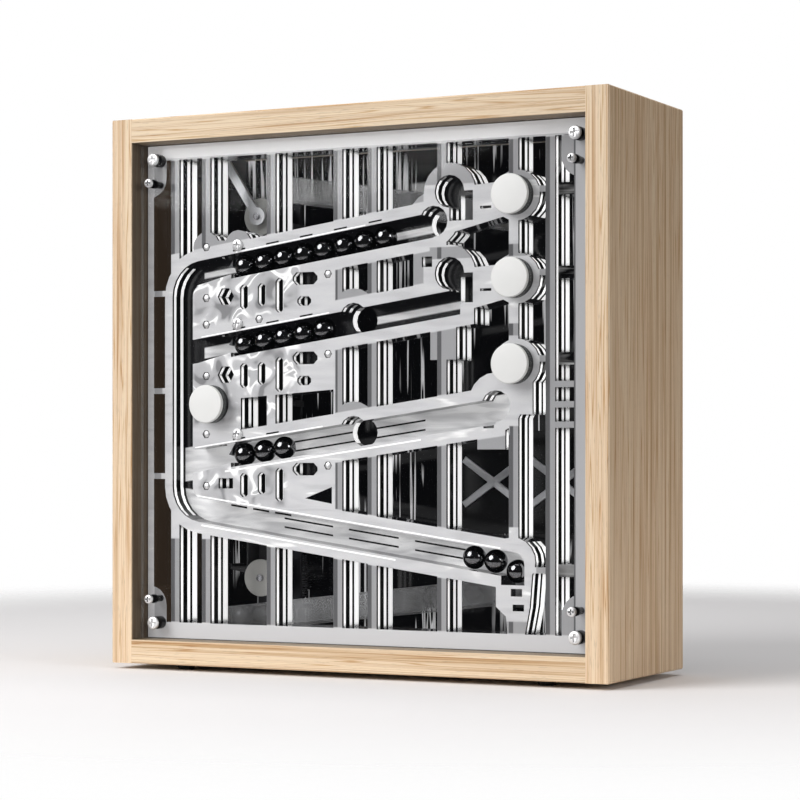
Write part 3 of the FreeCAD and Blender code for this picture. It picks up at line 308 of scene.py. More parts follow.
@dataclass(frozen=True)
class CutSheet(Finish):
    """Cast acrylic sheet cut by laser: its flat faces are calm, and its polished cuts carry
    painted reflections and painted light.

    A cut that faces sideways is painted with bright and dark bands through the sheet's
    thickness, a painted reflection, and gives them off as painted light.  A level cut is
    painted dark as painted shade, and so are the rounded corners of a cut and the quiet cuts,
    which get no painted bands.  The wooden wall's brown is painted on the cuts of the sheet's
    left margin, as a painted view of the wall.
    Strips of the face along the tracks are paler, with streaks whose palest parts are painted
    highlight strokes; the blocks between them have swirls of painted highlight and shade; one
    side of each column is painted in shade; and the faces give off a little painted light.
    """

    front_mm: float = 0.0
    thick_mm: float = 4.0
    # Bands through a sideways cut's thickness: a painted reflection, given off as painted
    # light.
    painted_reflection_stripes: dict[float, str] = field(default_factory=dict, hash=False)
    # Colour of level cuts, painted dark as painted shade.
    level: str = "101012"
    # Strength of the painted light that cuts and faces give off, and the faces' share of it.
    painted_glow: float = 0.8
    painted_face_glow: float = 0.0
    web: str = "9a9a9c"
    # Tones of the strips along the tracks; the palest streaks are painted highlight strokes.
    streaks: dict[float, str] = field(default_factory=dict, hash=False)
    streak_mm: tuple[float, float, float] = (34, 34, 6)
    bands: tuple[Band, ...] = ()
    # Tones of the blocks: swirls of painted highlight and shade.
    swirls: dict[float, str] = field(default_factory=dict, hash=False)
    swirl_mm: tuple[float, float, float] = (13, 13, 13)
    blocks: tuple[Band, ...] = ()
    # Tone and strips of each set of strokes, among them painted highlights and the top margin's
    # painted light.
    strokes: tuple[tuple[str, tuple[Band, ...]], ...] = ()
    shades: tuple[Band, ...] = ()
    quiet: tuple[Band, ...] = ()
    shade: str = "5c5c5e"
    # Brown of the wooden wall, painted on the left margin's cuts as a painted view of it.
    wall: str = "30271f"
    wall_mm: float = -119.0
    # Reach and limits of the painted shade in the rounded corners of a cut.
    corner_shade_mm: float = 4.6
    corner_shade_cosines: tuple[float, float] = (0.86, 0.97)
    edge_mm: float = 0.4

    def mask(self, tree: bpy.types.NodeTree, x: object, z: object, bands: tuple[Band, ...],
             soft_mm: float = 0.7) -> object:
        """Where any band runs.

        For each band the height above its middle line and the distance from its middle
        are compared with its half height and half length, and the largest result counts.

        Args:
            tree: the material's node tree.
            x: socket with the place along X.
            z: socket with the height.
            bands: the strips.
            soft_mm: width over which a strip fades out.

        Returns:
            A socket that is 1 on a band and 0 elsewhere.
        """
        total: object = 0.0
        for band in bands:
            start = (band.z - band.rise * band.x) * MM
            line = add(tree, "Math", {0: x, 1: band.rise, 2: start}, operation="MULTIPLY_ADD")
            limits = []
            for value, middle, half in ((z, line, band.half), (x, band.x * MM, band.reach)):
                off = add(tree, "Math", {0: value, 1: middle}, operation="SUBTRACT")
                far = add(tree, "Math", {0: off}, operation="ABSOLUTE")
                limits.append(add(tree, "MapRange", {
                    "Value": far, "From Min": half * MM, "From Max": (half + soft_mm) * MM,
                    "To Min": 1.0, "To Max": 0.0}))
            inside = add(tree, "Math", {0: limits[0], 1: limits[1]}, operation="MULTIPLY")
            total = add(tree, "Math", {0: inside, 1: total}, operation="MAXIMUM")
        return total

    def corner(self, tree: bpy.types.NodeTree) -> bpy.types.Node:
        """Painted shade in the rounded corners of a cut.

        The direction of a softly bent surface is laid flat into the sheet's plane and
        compared with the direction of the cut itself.

        Args:
            tree: the material's node tree.

        Returns:
            A node that gives 0 in a corner and 1 away from it.
        """
        bent = add(tree, "Bevel", {"Radius": self.corner_shade_mm * MM}, samples=6)
        level = add(tree, "VectorMath", {0: bent, 1: (1, 0, 1)}, operation="MULTIPLY")
        unit = add(tree, "VectorMath", {0: level}, operation="NORMALIZE")
        normal = add(tree, "NewGeometry").outputs["Normal"]
        same = add(tree, "VectorMath", {0: unit, 1: normal}, operation="DOT_PRODUCT")
        start, end = self.corner_shade_cosines
        return add(tree, "MapRange", {"Value": same.outputs["Value"], "From Min": start,
                                      "From Max": end})

    def paint(self, tree: bpy.types.NodeTree, shader: bpy.types.Node) -> None:
        """Adds the face's tones with their painted highlights and shade, the painted reflection
        bands in the cuts, the painted light that cuts and faces give off, and softly rounded
        edges.

        Args:
            tree: the material's node tree.
            shader: its Principled shader.
        """
        place = add(tree, "SeparateXYZ", {0: add(tree, "TexCoord").outputs["Object"]})
        facing = add(tree, "VectorMath", {0: add(tree, "NewGeometry").outputs["Normal"]},
                     operation="ABSOLUTE")
        sides = add(tree, "SeparateXYZ", {0: facing})
        # Painted shade in the rounded corners of the cuts.
        corner = self.corner(tree)
        # Face tones: streaks with painted highlight strokes, and swirls of painted highlight
        # and shade.
        streaked = add(tree, "ValToRGB", {"Fac": self.pattern(tree, self.streak_mm, 2, 0.6)},
                       stops=self.streaks or {0.5: self.colour})
        swirled = add(tree, "ValToRGB", {"Fac": self.pattern(tree, self.swirl_mm, 1, 0.9)},
                      stops=self.swirls)
        x, z = place.outputs["X"], place.outputs["Z"]
        layers = [(self.shades, linear(self.shade), 0.5), (self.bands, streaked, 0.7),
                  (self.blocks, swirled, 3.0)]
        layers += [(strokes, linear(tone), 0.25) for tone, strokes in self.strokes]
        face: object = linear(self.web) if self.bands else streaked.outputs[0]
        for bands, tone, soft_mm in layers:
            share = self.mask(tree, x, z, bands, soft_mm)
            face = add(tree, "Mix", {0: share, 6: face, 7: tone},
                       data_type="RGBA").outputs[2]
        through = add(tree, "MapRange", {"Value": place.outputs["Y"],
                                         "From Min": self.front_mm * MM,
                                         "From Max": (self.front_mm + self.thick_mm) * MM})
        # Painted reflection: bright and dark bands through the sheet's thickness.
        bright = add(tree, "ValToRGB", {"Fac": through}, stops=self.painted_reflection_stripes)
        upright = add(tree, "Math", {0: sides.outputs["X"], 1: sides.outputs["Z"]},
                      operation="SUBTRACT")
        turned = add(tree, "MapRange", {"Value": upright, "From Min": -0.35, "From Max": 0.1})
        sideways = add(tree, "Math", {0: turned, 1: corner}, operation="MULTIPLY")
        # Quiet cuts get no painted bands.
        if self.quiet:
            sideways = add(tree, "Math", {0: sideways, 1: self.mask(tree, x, z, self.quiet)},
                           operation="SUBTRACT", use_clamp=True)
        # Level and quiet cuts are painted dark as painted shade, and those of the left margin
        # take the wooden wall's brown as a painted view of it.
        at_wall = add(tree, "MapRange", {"Value": x, "From Min": (self.wall_mm - 1) * MM,
                                         "From Max": self.wall_mm * MM})
        plain = add(tree, "Mix", {0: at_wall, 6: linear(self.wall), 7: linear(self.level)},
                    data_type="RGBA").outputs[2]
        cut = add(tree, "Mix", {0: sideways, 6: plain, 7: bright}, data_type="RGBA").outputs[2]
        flat = add(tree, "MapRange", {"Value": sides.outputs["Y"], "From Min": 0.4,
                                      "From Max": 0.7})
        tone = add(tree, "Mix", {0: flat, 6: cut, 7: face}, data_type="RGBA")
        tree.links.new(tone.outputs[2], shader.inputs["Base Color"])
        # Painted light: the cuts give off the colours of their bands, and the faces a share of
        # their tone.
        painted_face_light = add(tree, "VectorMath", {0: face, 1: (self.painted_face_glow,) * 3},
                     operation="MULTIPLY")
        painted_glow_colour = add(tree, "Mix", {0: flat, 6: cut, 7: painted_face_light}, data_type="RGBA")
        tree.links.new(painted_glow_colour.outputs[2], shader.inputs["Emission Color"])
        shader.inputs["Emission Strength"].default_value = self.painted_glow
        rounded_edge = add(tree, "Bevel", {"Radius": self.edge_mm * MM}, samples=4)
        tree.links.new(rounded_edge.outputs[0], shader.inputs["Normal"])


@dataclass(frozen=True)
class ClearSheet(Finish):
    """Clear cast acrylic: nearly unseen face on, with pale polished edges."""

    face: str = "202224"
    face_alpha: float = 0.05
    edge_alpha: float = 0.6

    def paint(self, tree: bpy.types.NodeTree, shader: bpy.types.Node) -> None:
        """Makes the faces clear and the edges pale.

        Args:
            tree: the material's node tree.
            shader: its Principled shader.
        """
        facing = add(tree, "VectorMath", {0: add(tree, "NewGeometry").outputs["Normal"]},
                     operation="ABSOLUTE")
        flat = add(tree, "SeparateXYZ", {0: facing}).outputs["Y"]
        alpha = add(tree, "MapRange", {"Value": flat, "From Min": 0.5, "From Max": 0.99,
                                       "To Min": self.edge_alpha, "To Max": self.face_alpha})
        tone = add(tree, "ValToRGB", {"Fac": flat}, stops={0.6: self.colour, 0.95: self.face})
        tree.links.new(alpha.outputs[0], shader.inputs["Alpha"])
        tree.links.new(tone.outputs[0], shader.inputs["Base Color"])


@dataclass(frozen=True)
class MirrorSheet(Finish):
    """Gloss black sheet: its inner face carries painted reflections of the cut edges before it,
    as upright streaks.
    """

    streaks: dict[float, str] = field(default_factory=dict, hash=False)
    streak_mm: tuple[float, float, float] = (2.6, 60, 110)
    group_mm: tuple[float, float, float] = (22, 60, 40)
    painted_glow: float = 0.5

    def paint(self, tree: bpy.types.NodeTree, shader: bpy.types.Node) -> None:
        """Adds the painted reflection streaks, which gather in groups, to the face towards the
        front.

        Args:
            tree: the material's node tree.
            shader: its Principled shader.
        """
        line = add(tree, "ValToRGB", {"Fac": self.pattern(tree, self.streak_mm, 1)},
                   stops=self.streaks)
        group = add(tree, "MapRange", {"Value": self.pattern(tree, self.group_mm, 1),
                                       "From Min": 0.46, "From Max": 0.56})
        normal = add(tree, "NewGeometry").outputs["Normal"]
        front = add(tree, "Math", {0: add(tree, "SeparateXYZ", {0: normal}).outputs["Y"],
                                   1: -0.5}, operation="LESS_THAN")
        share = add(tree, "Math", {0: group, 1: front}, operation="MULTIPLY")
        tone = add(tree, "Mix", {0: share, 6: linear(self.colour), 7: line},
                   data_type="RGBA").outputs[2]
        tree.links.new(tone, shader.inputs["Base Color"])
        # The painted reflection streaks are given off as painted light.
        tree.links.new(tone, shader.inputs["Emission Color"])
        shader.inputs["Emission Strength"].default_value = self.painted_glow


@dataclass(frozen=True)
class Metal(Finish):
    """Turned, drawn or ground metal: its roughness varies in fine lines."""

    line_mm: tuple[float, float, float] = (0.5, 6.0, 0.5)
    spread: float = 0.08
    bump: float = 0.1
    # Reach and colour of the painted shade in recesses.
    recess_shade_mm: float = 0.0
    recess: str = "0c0c0d"

    def paint(self, tree: bpy.types.NodeTree, shader: bpy.types.Node) -> None:
        """Adds tool marks as a change in roughness and a faint bump, and painted shade in
        recesses.

        Args:
            tree: the material's node tree.
            shader: its Principled shader.
        """
        marks = self.pattern(tree, self.line_mm, 3)
        rough = add(tree, "MapRange", {"Value": marks, "From Min": 0.3, "From Max": 0.7,
                                       "To Min": self.roughness,
                                       "To Max": self.roughness + self.spread})
        tree.links.new(rough.outputs[0], shader.inputs["Roughness"])
        # Painted shade: recesses and seats darken with ambient occlusion.
        if self.recess_shade_mm:
            open_sky = add(tree, "AmbientOcclusion", {"Distance": self.recess_shade_mm * MM},
                           samples=8).outputs["AO"]
            tone = add(tree, "ValToRGB", {"Fac": open_sky},
                       stops={0.55: self.recess, 0.85: self.colour})
            tree.links.new(tone.outputs[0], shader.inputs["Base Color"])
        if self.bump:
            relief = add(tree, "Bump", {"Height": marks, "Strength": self.bump,
                                        "Distance": 0.02 * MM})
            tree.links.new(relief.outputs[0], shader.inputs["Normal"])


@dataclass(frozen=True)
class CircuitSheet(Finish):
    """Glass epoxy board under green solder mask, with lines of copper that show through."""

    field_tone: str = "14502c"
    copper: str = "5f8f4a"
    line_mm: float = 0.6
    pitch_mm: float = 2.5
    length_mm: float = 9.0

    def paint(self, tree: bpy.types.NodeTree, shader: bpy.types.Node) -> None:
        """Adds the copper lines.

        Args:
            tree: the material's node tree.
            shader: its Principled shader.
        """
        place = add(tree, "TexCoord").outputs["Object"]
        turned = add(tree, "Mapping", {"Vector": place, "Rotation": (math.radians(90), 0, 0)})
        bricks = add(tree, "TexBrick", {
            "Vector": turned, "Color1": linear(self.colour), "Scale": 1.0,
            "Color2": linear(self.field_tone), "Mortar": linear(self.copper),
            "Mortar Size": self.line_mm / 2 * MM, "Brick Width": self.length_mm * MM,
            "Row Height": self.pitch_mm * MM})
        tree.links.new(bricks.outputs[0], shader.inputs["Base Color"])


# The tracks rise or fall by 8 degrees along these middle lines.
TILT = math.tan(math.radians(8))
MINUTES_LINE = Line(-40, 226.8, TILT)
TENS_LINE = Line(-30, 185.3, TILT)
HOURS_LINE = Line(-20, 126.4, TILT)
FEED_LINE = Line(-15, 75.4, -TILT)
# Strips of the plates that follow the tracks, the shaft, the blocks and the frame.
TRACK_BANDS = (
    MINUTES_LINE.band(-40, 0, 13.0, 80), TENS_LINE.band(-30, 0, 13.0, 96),
    HOURS_LINE.band(-20, 0, 13.0, 106), FEED_LINE.band(-15, 0, 13.0, 112),
    Band(-112.3, 146.0, 0, 74, 12.9), Band(-66, 208.0, TILT, 25.0, 49.5),
    Band(-66, 152.0, 0.09, 42.0, 49.5), Band(-66, 104.0, 0, 32.0, 49.5),
    Band(70, 243, 0, 16, 33), Band(70, 203, 0, 17, 33), Band(80, 156, 0, 23, 23),
    Band(88.2, 56, 0, 24, 12.9), Band(0, 20, 0, 5.2, 140), Band(0, 286, 0, 4.8, 140),
    Band(-133, 152, 0, 140, 2),
)
BLOCK_BANDS = (Band(-72, 206.5, TILT, 12.0, 32), Band(-72, 157.5, 0.09, 19.0, 32),
               Band(-74, 101.0, 0, 9.0, 26))
# A narrow strip of shade runs down one side of each column.
COLUMN_SHADES = tuple([Band(x + 1.2, 150, 0, 140, 1.0)
                       for x in (-119.8, -99.8, -58.5, -17.2, 3.4, 44.7, 86.0, 106.7)]
                      + [Band(123.2, 150, 0, 140, 0.5)])
# Light catches the roof of each track, above which short dark strokes show.
ROWS = (Line(-70, 222.6, TILT), Line(-70, 179.7, TILT), Line(-70, 119.4, TILT))
ROOF_GLINTS = tuple(row.band(x, 7.3, 0.22, 40) for row, x in zip(ROWS, (-38, -60, -64))) + (
    HOURS_LINE.band(-25, -8.4, 0.3, 60), FEED_LINE.band(-15, 7.6, 0.3, 96),
    FEED_LINE.band(-40, -8.2, 0.3, 60))
ROOF_STROKES = tuple(row.band(x, 8.3, 0.3, 3.8) for row, count in zip(ROWS, (5, 3, 2))
                     for x in range(-76, -76 + 21 * count, 21))
# The plates' margins, the top one made paler as painted light under the top board's shadow, and
# the quiet cuts, which get no painted bands or painted light.
PAINTED_LIGHT_TOP_MARGIN = (Band(0, 286, 0, 3.6, 140),)
LOW_MARGIN = (Band(0, 20, 0, 4.4, 134),)
RIGHT_MARGIN = (Band(130, 152, 0, 130, 6.5),)
QUIET_CUTS = (Band(-133, 152, 0, 140, 13.5), Band(84, 46, 0, 12, 9.5))
# The rear plate is pale where it backs the two lower tracks, and slit along them.
PALE_TRACKS = (HOURS_LINE.band(-20, 0, 9.0, 106), FEED_LINE.band(-15, 0, 9.0, 112),
               MINUTES_LINE.band(10, 0, 1.6, 34), TENS_LINE.band(24, 0, 1.6, 32),
               MINUTES_LINE.band(-96, 0, 1.2, 10), TENS_LINE.band(-94, 0, 2.6, 12))
TRACK_SLITS = tuple(
    [HOURS_LINE.band(x, above, 0.35, 19) for x in (-30, 12) for above in (2.6, -2.4)]
    + [FEED_LINE.band(x, above, 0.35, 15) for x in (-40, 0, 40) for above in (2.2, -2.6)]
    + [FEED_LINE.band(x, 4.4, 0.4, 5) for x in (-84, -70, -56)])

# Ash under clear lacquer: pale tan with fine darker lines, and painted shade inside the case,
# deeper on the uprights.
ASH_UPRIGHT = Wood("ash_lacquered_upright", "light_wood", "e5caaa", 0.55, along=Axis.Z,
                   inner=0.2)
ASH_LEVEL = Wood("ash_lacquered_level", "light_wood", "e1c9aa", 0.55, along=Axis.X,
                 line_mm=1.4, inner=0.45)
# Pine painted black as painted shade: posts that stay in the dark behind the plates.
PINE_POST = Wood("pine_black_painted_shade", "corner_wood", "211d1a", 0.6, along=Axis.Y,
                 dark="12100e", pale="35302b")
# Gloss black ABS: a dark mirror behind the plates, with painted reflections of the cut edges.
BACK_SHEET = MirrorSheet(
    "abs_sheet_gloss_black", "back_sheet", "08080a", 0.06,
    streaks={0.56: "08080a", 0.58: "d0d0d2", 0.64: "e8e8ea", 0.66: "08080a"})
# Clear acrylic: only the cover's edges and reflections show.
COVER_SHEET = ClearSheet("acrylic_cast_clear", "cover_acrylic", "e8eeee", 0.03,
                         edge_alpha=0.12)
# Clear acrylic over black: light grey, with white glints along the tracks.
FRONT_SHEET = CutSheet(
    "acrylic_cut_pale", "front_acrylic", "cfcfd0", 0.06, specular=0.3, front_mm=-36, thick_mm=4,
    painted_reflection_stripes={0.0: "060606", 0.38: "060606", 0.42: "ffffff", 0.94: "ffffff", 1.0: "101010"},
    streaks={0.32: "bebec0", 0.5: "c8c8ca", 0.64: "cccccd", 0.74: "eeeeee"},
    bands=TRACK_BANDS, blocks=BLOCK_BANDS, painted_face_glow=0.45,
    swirls={0.34: "848486", 0.42: "aeaeb0", 0.55: "bebec0", 0.6: "fafafa", 0.64: "f0f0f0",
            0.67: "b4b4b6"},
    shades=COLUMN_SHADES, quiet=QUIET_CUTS,
    strokes=(("ececed", PAINTED_LIGHT_TOP_MARGIN), ("c8c8ca", LOW_MARGIN), ("acacae", RIGHT_MARGIN),
             ("ffffff", ROOF_GLINTS), ("0a0a0b", ROOF_STROKES)))
# Black acrylic: black tracks, and one white band through each upright cut, a painted reflection
# given off as painted light.
CHANNEL_SHEET = CutSheet(
    "acrylic_cut_black", "black_acrylic", "0c0c0d", 0.07, specular=0.2, front_mm=-32,
    thick_mm=9.5, level="08080a", quiet=QUIET_CUTS,
    painted_reflection_stripes={0.0: "050505", 0.44: "050505", 0.46: "ffffff", 0.74: "ffffff", 0.76: "050505",
             1.0: "050505"})
# Opal acrylic: white in its cuts as a painted reflection, pale behind the lower tracks and dark
# elsewhere, its cuts and pale faces giving off painted light.
REAR_SHEET = CutSheet(
    "acrylic_cut_opal", "rear_acrylic", "bdbdbf", 0.2, front_mm=-22.5, thick_mm=5.1,
    painted_reflection_stripes={0.0: "ffffff", 0.94: "ffffff", 1.0: "202020"}, web="141416", painted_face_glow=0.6,
    streaks={0.34: "bababc", 0.46: "d4d4d5", 0.55: "e0e0e1", 0.66: "f8f8f8"},
    bands=PALE_TRACKS, strokes=(("0a0a0b", TRACK_SLITS),), quiet=QUIET_CUTS)
# Opal polycarbonate: milky ramps through which the waiting balls show.
RAMP_SHEET = ClearSheet("polycarbonate_bent_opal", "ramp_acrylic", "c4c5c7", 0.12,
                        face="d8d9db", face_alpha=0.28, edge_alpha=0.75)
# Polished steel: balls like black mirrors with a small white highlight.
BEARING_STEEL = Metal("bearing_steel_polished", "ball_steel", "747476", 0.01, 1.0,
                      spread=0.01, bump=0.0)
# Plated, blackened and ground steel: pale satin heads with painted shade in their recesses,
# black shanks, bright shafts.
SCREW_STEEL = Metal("steel_zinc_plated", "screw_steel", "f4f4f5", 0.45, 1.0,
                    recess_shade_mm=0.9)
OXIDE_STEEL = Metal("steel_black_oxide", "screw_steel", "1c1c1e", 0.25, 1.0)
SHAFT_STEEL = Metal("steel_ground", "shaft_steel", "b8b8bc", 0.2, 1.0)
# Moulded plastic: matt black sleeves and barrels, and off-white caps with a soft sheen.
BLACK_NYLON = Finish("nylon_moulded_black", "black_nylon", "141416", 0.4,
                     texture_height=0.02)
BARREL_ABS = Finish("abs_moulded_black", "button_black", "09090a", 0.45, cloud=0.2,
                    specular=0.2)
CAP_ABS = Finish("abs_satin_white", "button_white", "e6e6e4", 0.38, cloud=0.02,
                 texture_mm=0.35, texture_height=0.01)
# Acetal has a waxy sheen, and rubber is dull with a fine grit.
GATE_ACETAL = Finish("acetal_cut_grey", "gate_plastic", "56575a", 0.3)
PULLEY_ACETAL = Finish("acetal_turned_white", "pulley_plastic", "d8d8d4", 0.35)
BELT_RUBBER = Finish("rubber_moulded_grey", "belt_rubber", "3a3a3c", 0.6,
                     texture_height=0.05)
FOOT_RUBBER = Finish("rubber_foot_black", "foot_rubber", "161616", 0.7,
                     texture_height=0.04)
# Folded, rolled and drawn metal: broad soft reflections with lines along the stock.
BRACKET_STEEL = Metal("steel_folded_black", "bracket_metal", "4a4a4e", 0.3, 1.0)
STRAP_ALUMINIUM = Metal("aluminium_rolled_plain", "arm_metal", "dcdde0", 0.34, 1.0,
                        line_mm=(8.0, 0.6, 0.6))
MOTOR_STEEL = Metal("steel_drawn_nickel", "motor_metal", "a8a8ab", 0.22, 1.0)
# Electric parts: glossy black box, green board with copper lines, satin black inlet.
BOX_ABS = Finish("abs_moulded_box", "box_black", "101012", 0.15, cloud=0.3)
BOARD_EPOXY = CircuitSheet("glass_epoxy_green", "circuit_board", "1c6b3c", 0.3)
INLET_NYLON = Finish("nylon_inlet_black", "inlet_plastic", "18181a", 0.35)


# ---------------------------------------------------------------- surfaces

@dataclass
class Shell:
    """Points and faces of one surface."""

    points: Array
    faces: list[list[int]]


def grid_shell(points: Array, loop: bool = False) -> Shell:
    """Faces over a grid of points, whose last column joins the first.

    Args:
        points: rows x columns x 3.
        loop: the last row joins the first as well.

    Returns:
        The surface, with four corners to a face.
    """
    rows, columns = points.shape[:2]
    i, j = np.meshgrid(np.arange(rows if loop else rows - 1), np.arange(columns),
                       indexing="ij")
    down, right = (i + 1) % rows, (j + 1) % columns
    faces = np.stack([i * columns + j, i * columns + right, down * columns + right,
                      down * columns + j], -1)
    return Shell(points.reshape(-1, 3), faces.reshape(-1, 4).tolist())


def rounded(corners: list[tuple[float, float]], radius: float, steps: int = 4) -> Array:
    """Rounds the inner corners of a line.

    Each corner B becomes the curve (1-t)^2 A + 2t(1-t) B + t^2 C, where A and C lie on
    its two sides at the radius, or nearly halfway along a side that is shorter.

    Args:
        corners: points of the line.
        radius: length taken off each side of a corner.
        steps: pieces of each curve.

    Returns:
        The points of the rounded line.
    """
    p = np.asarray(corners, float)
    b = p[1:-1]
    ends = []
    for other in (p[:-2], p[2:]):
        side = other - b
        length = np.linalg.norm(side, axis=1, keepdims=True)
        ends.append((b + side / length * np.minimum(radius, length * 0.45))[:, None])
    t = np.linspace(0, 1, steps + 1)[None, :, None]
    curves = (1 - t) ** 2 * ends[0] + 2 * t * (1 - t) * b[:, None] + t ** 2 * ends[1]
    return np.vstack([p[:1], curves.reshape(-1, 2), p[-1:]])


def turned(profile: Array, u: float, v: float, axis: Axis = Axis.Y, steps: int = 48) -> Shell:
    """Turns a profile of (radius, place along the axis) about a line.

    Point (i, j) lies at radius r_i and angle a_j from the line, at h_i along it:
    (u + r_i cos a_j, h_i, v + r_i sin a_j) about Y, and (u + .., v + .., h_i) about Z.

    Args:
        profile: radius and place of each point, in metres.
        u: where the line stands along X.
        v: where it stands along Z, or along Y for an upright line.
        axis: direction of the line, Y or Z.
        steps: points round each ring.

    Returns:
        The turned surface.
    """
    radius, along = np.asarray(profile, float).T[:, :, None]
    angle = np.linspace(0, 2 * np.pi, steps, endpoint=False)[None, :]
    first, second = u + radius * np.cos(angle), v + radius * np.sin(angle)
    along = np.broadcast_to(along, first.shape)
    order = (first, along, second) if axis is Axis.Y else (first, second, along)
    return grid_shell(np.stack(order, -1))


def ball(centre: tuple[float, float, float], radius: float) -> Shell:
    """A sphere: centre + R (sin p cos q, sin p sin q, cos p) for p down and q round it."""
    p = np.linspace(0, np.pi, 25)[:, None]
    q = np.linspace(0, 2 * np.pi, 38, endpoint=False)[None, :]
    unit = np.stack([np.sin(p) * np.cos(q), np.sin(p) * np.sin(q),
                     np.cos(p) * np.ones_like(q)], -1)
    return grid_shell(np.asarray(centre) + radius * unit)


class Extent(NamedTuple):
    """Box of a round solid: its middle, its radius along X, and its outer faces."""

    x: float
    y: float
    z: float
    radius: float
    front: float
    back: float
    top: float


def crossed_head(place: Extent, height: float, facing: float = -1.0) -> Shell:
    """A screw head with a cross recess.

    Over radius r and angle a the head rises by height (1 - 0.35 (r/R)^2).  The recess is
    a plus: it is sunk where the smaller of |r cos a| and |r sin a| is under 0.17 R and
    the larger under 0.62 R.  The outer ring drops to the seat.

    Args:
        place: extent of the whole screw.
        height: of the head above its seat.
        facing: -1 for a head that faces the front, 1 for the back.

    Returns:
        The closed head.
    """
    x, z, radius = place.x, place.z, place.radius
    seat = (place.front if facing < 0 else place.back) - facing * height
    slot, reach, blend, turn = 0.17 * radius, 0.62 * radius, 0.05 * radius, 0.6
    r = np.concatenate([np.linspace(0, 0.94, 26), [0.985, 1.0]])[:, None] * radius
    a = np.linspace(0, 2 * np.pi, 72, endpoint=False)[None, :] + turn
    across, up = r * np.cos(a), r * np.sin(a)
    low, high = np.minimum(abs(across), abs(up)), np.maximum(abs(across), abs(up))
    arm = np.clip((slot - low) / blend + 0.5, 0, 1) * np.clip((reach - high) / blend + 0.5,
                                                              0, 1)
    top = height * (1 - 0.35 * (r / radius) ** 2) - 0.6 * height * arm * (1 - high / radius)
    top = np.where(r > 0.96 * radius, top - (r - 0.96 * radius) * 2.0, top)
    rows = [np.stack([x + across, seat + facing * top, z + up], -1)]
    edge, middle = rows[0][-1], np.array([x, seat, z])
    for share in (1.0, 0.0):
        row = middle + (edge - middle) * share
        row[:, 1] = seat
        rows.append(row[None])
    return grid_shell(np.concatenate(rows))


def pulled(outline: Array, start: float, end: float) -> Shell:
    """An outline of (x, z) points pulled along Y, closed by a face at each end."""
    sides = grid_shell(np.stack([np.insert(outline, 1, y, axis=1) for y in (start, end)]))
    count = len(outline)
    sides.faces += [list(range(count)), list(range(2 * count - 1, count - 1, -1))]
    return sides


# ---------------------------------------------------------------- pieces

def extent(low: Array, high: Array) -> Extent:
    """The extent of a box.

    Args:
        low: its lowest corner.
        high: its highest corner.

    Returns:
        Its middle, radius and faces.
    """
    x, y, z = (np.asarray(low) + np.asarray(high)) / 2
    return Extent(x, y, z, (high[0] - low[0]) / 2, low[1], high[1], high[2])


def whole(node: str) -> Extent:
    """The extent of a whole node of the frame."""
    return extent(*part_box(node))


def body_of(node: str) -> str:
    """The body that a solid of the frame moves with."""
    return frame["nodes"][node]["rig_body"]


def finish_piece(obj: bpy.types.Object, finish: Finish, node: str) -> bpy.types.Object:
    """Gives a new piece its finish and lets it stand for a solid of the frame.

    Args:
        obj: the new object, in place.
        finish: what it is made of.
        node: the solid that it stands for.

    Returns:
        The same object.
    """
    obj.data.materials.clear()
    obj.data.materials.append(finish.material())
    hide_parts(node)
    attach(obj, body_of(node))
    LOG.info("%s: %d faces, %s", obj.name, len(obj.data.polygons), finish.name)
    return obj


def smoothed(name: str, mesh: bpy.types.Mesh, sharp: float) -> bpy.types.Object:
    """A new object with a smooth mesh, but for edges over so many degrees."""
    mesh.polygons.foreach_set("use_smooth", [True] * len(mesh.polygons))
    mesh.set_sharp_from_angle(angle=math.radians(sharp))
    obj = bpy.data.objects.new(name, mesh)
    bpy.context.scene.collection.objects.link(obj)
    return obj


def piece(node: str, shells: list[Shell], finish: Finish) -> bpy.types.Object:
    """Makes one object from surfaces.

    The surfaces' points are stacked and the corner numbers of each are moved on by the
    number of points before it.  Seams and poles are merged, so every surface is closed.

    Args:
        node: the solid that the piece stands for.
        shells: its surfaces.
        finish: what it is made of.

    Returns:
        The object.
    """
    starts = np.cumsum([0] + [len(s.points) for s in shells])
    faces = [[corner + int(start) for corner in face]
             for start, shell in zip(starts, shells) for face in shell.faces]
    mesh = bpy.data.meshes.new(node + "_smooth")
    mesh.from_pydata(np.concatenate([s.points for s in shells]).tolist(), [], faces)
    merged = bmesh.new()
    merged.from_mesh(mesh)
    bmesh.ops.remove_doubles(merged, verts=merged.verts, dist=2e-7)
    bmesh.ops.recalc_face_normals(merged, faces=merged.faces)
    merged.to_mesh(mesh)
    merged.free()
    return finish_piece(smoothed(node + "_smooth", mesh, 38), finish, node)


def softened(node: str, finish: Finish, width_mm: float) -> None:
    """Makes a copy of a solid with merged faces and rounded edges, to stand for it.

    Args:
        node: the solid.
        finish: what it is made of.
        width_mm: rounding of its edges.
    """
    mesh = frame["nodes"][node].data.copy()
    merged = bmesh.new()
    merged.from_mesh(mesh)
    bmesh.ops.remove_doubles(merged, verts=merged.verts, dist=1e-6)
    bmesh.ops.dissolve_limit(merged, angle_limit=math.radians(1), verts=merged.verts,
                             edges=merged.edges)
    merged.to_mesh(mesh)
    merged.free()
    obj = smoothed(node + "_soft", mesh, 30)
    bevel = obj.modifiers.new("rounded_edges", "BEVEL")
    bevel.width, bevel.segments = width_mm * MM, 2
    bevel.limit_method, bevel.angle_limit = "ANGLE", math.radians(35)
    finish_piece(obj, finish, node)


def dress(node: str, finish: Finish) -> None:
    """Gives a solid of the frame its finish."""
    obj = frame["nodes"][node]
    if not obj.material_slots:
        obj.data.materials.append(None)
    for slot in obj.material_slots:
        slot.material = finish.material()
    LOG.info("%s: kept as it is, %s", node, finish.name)


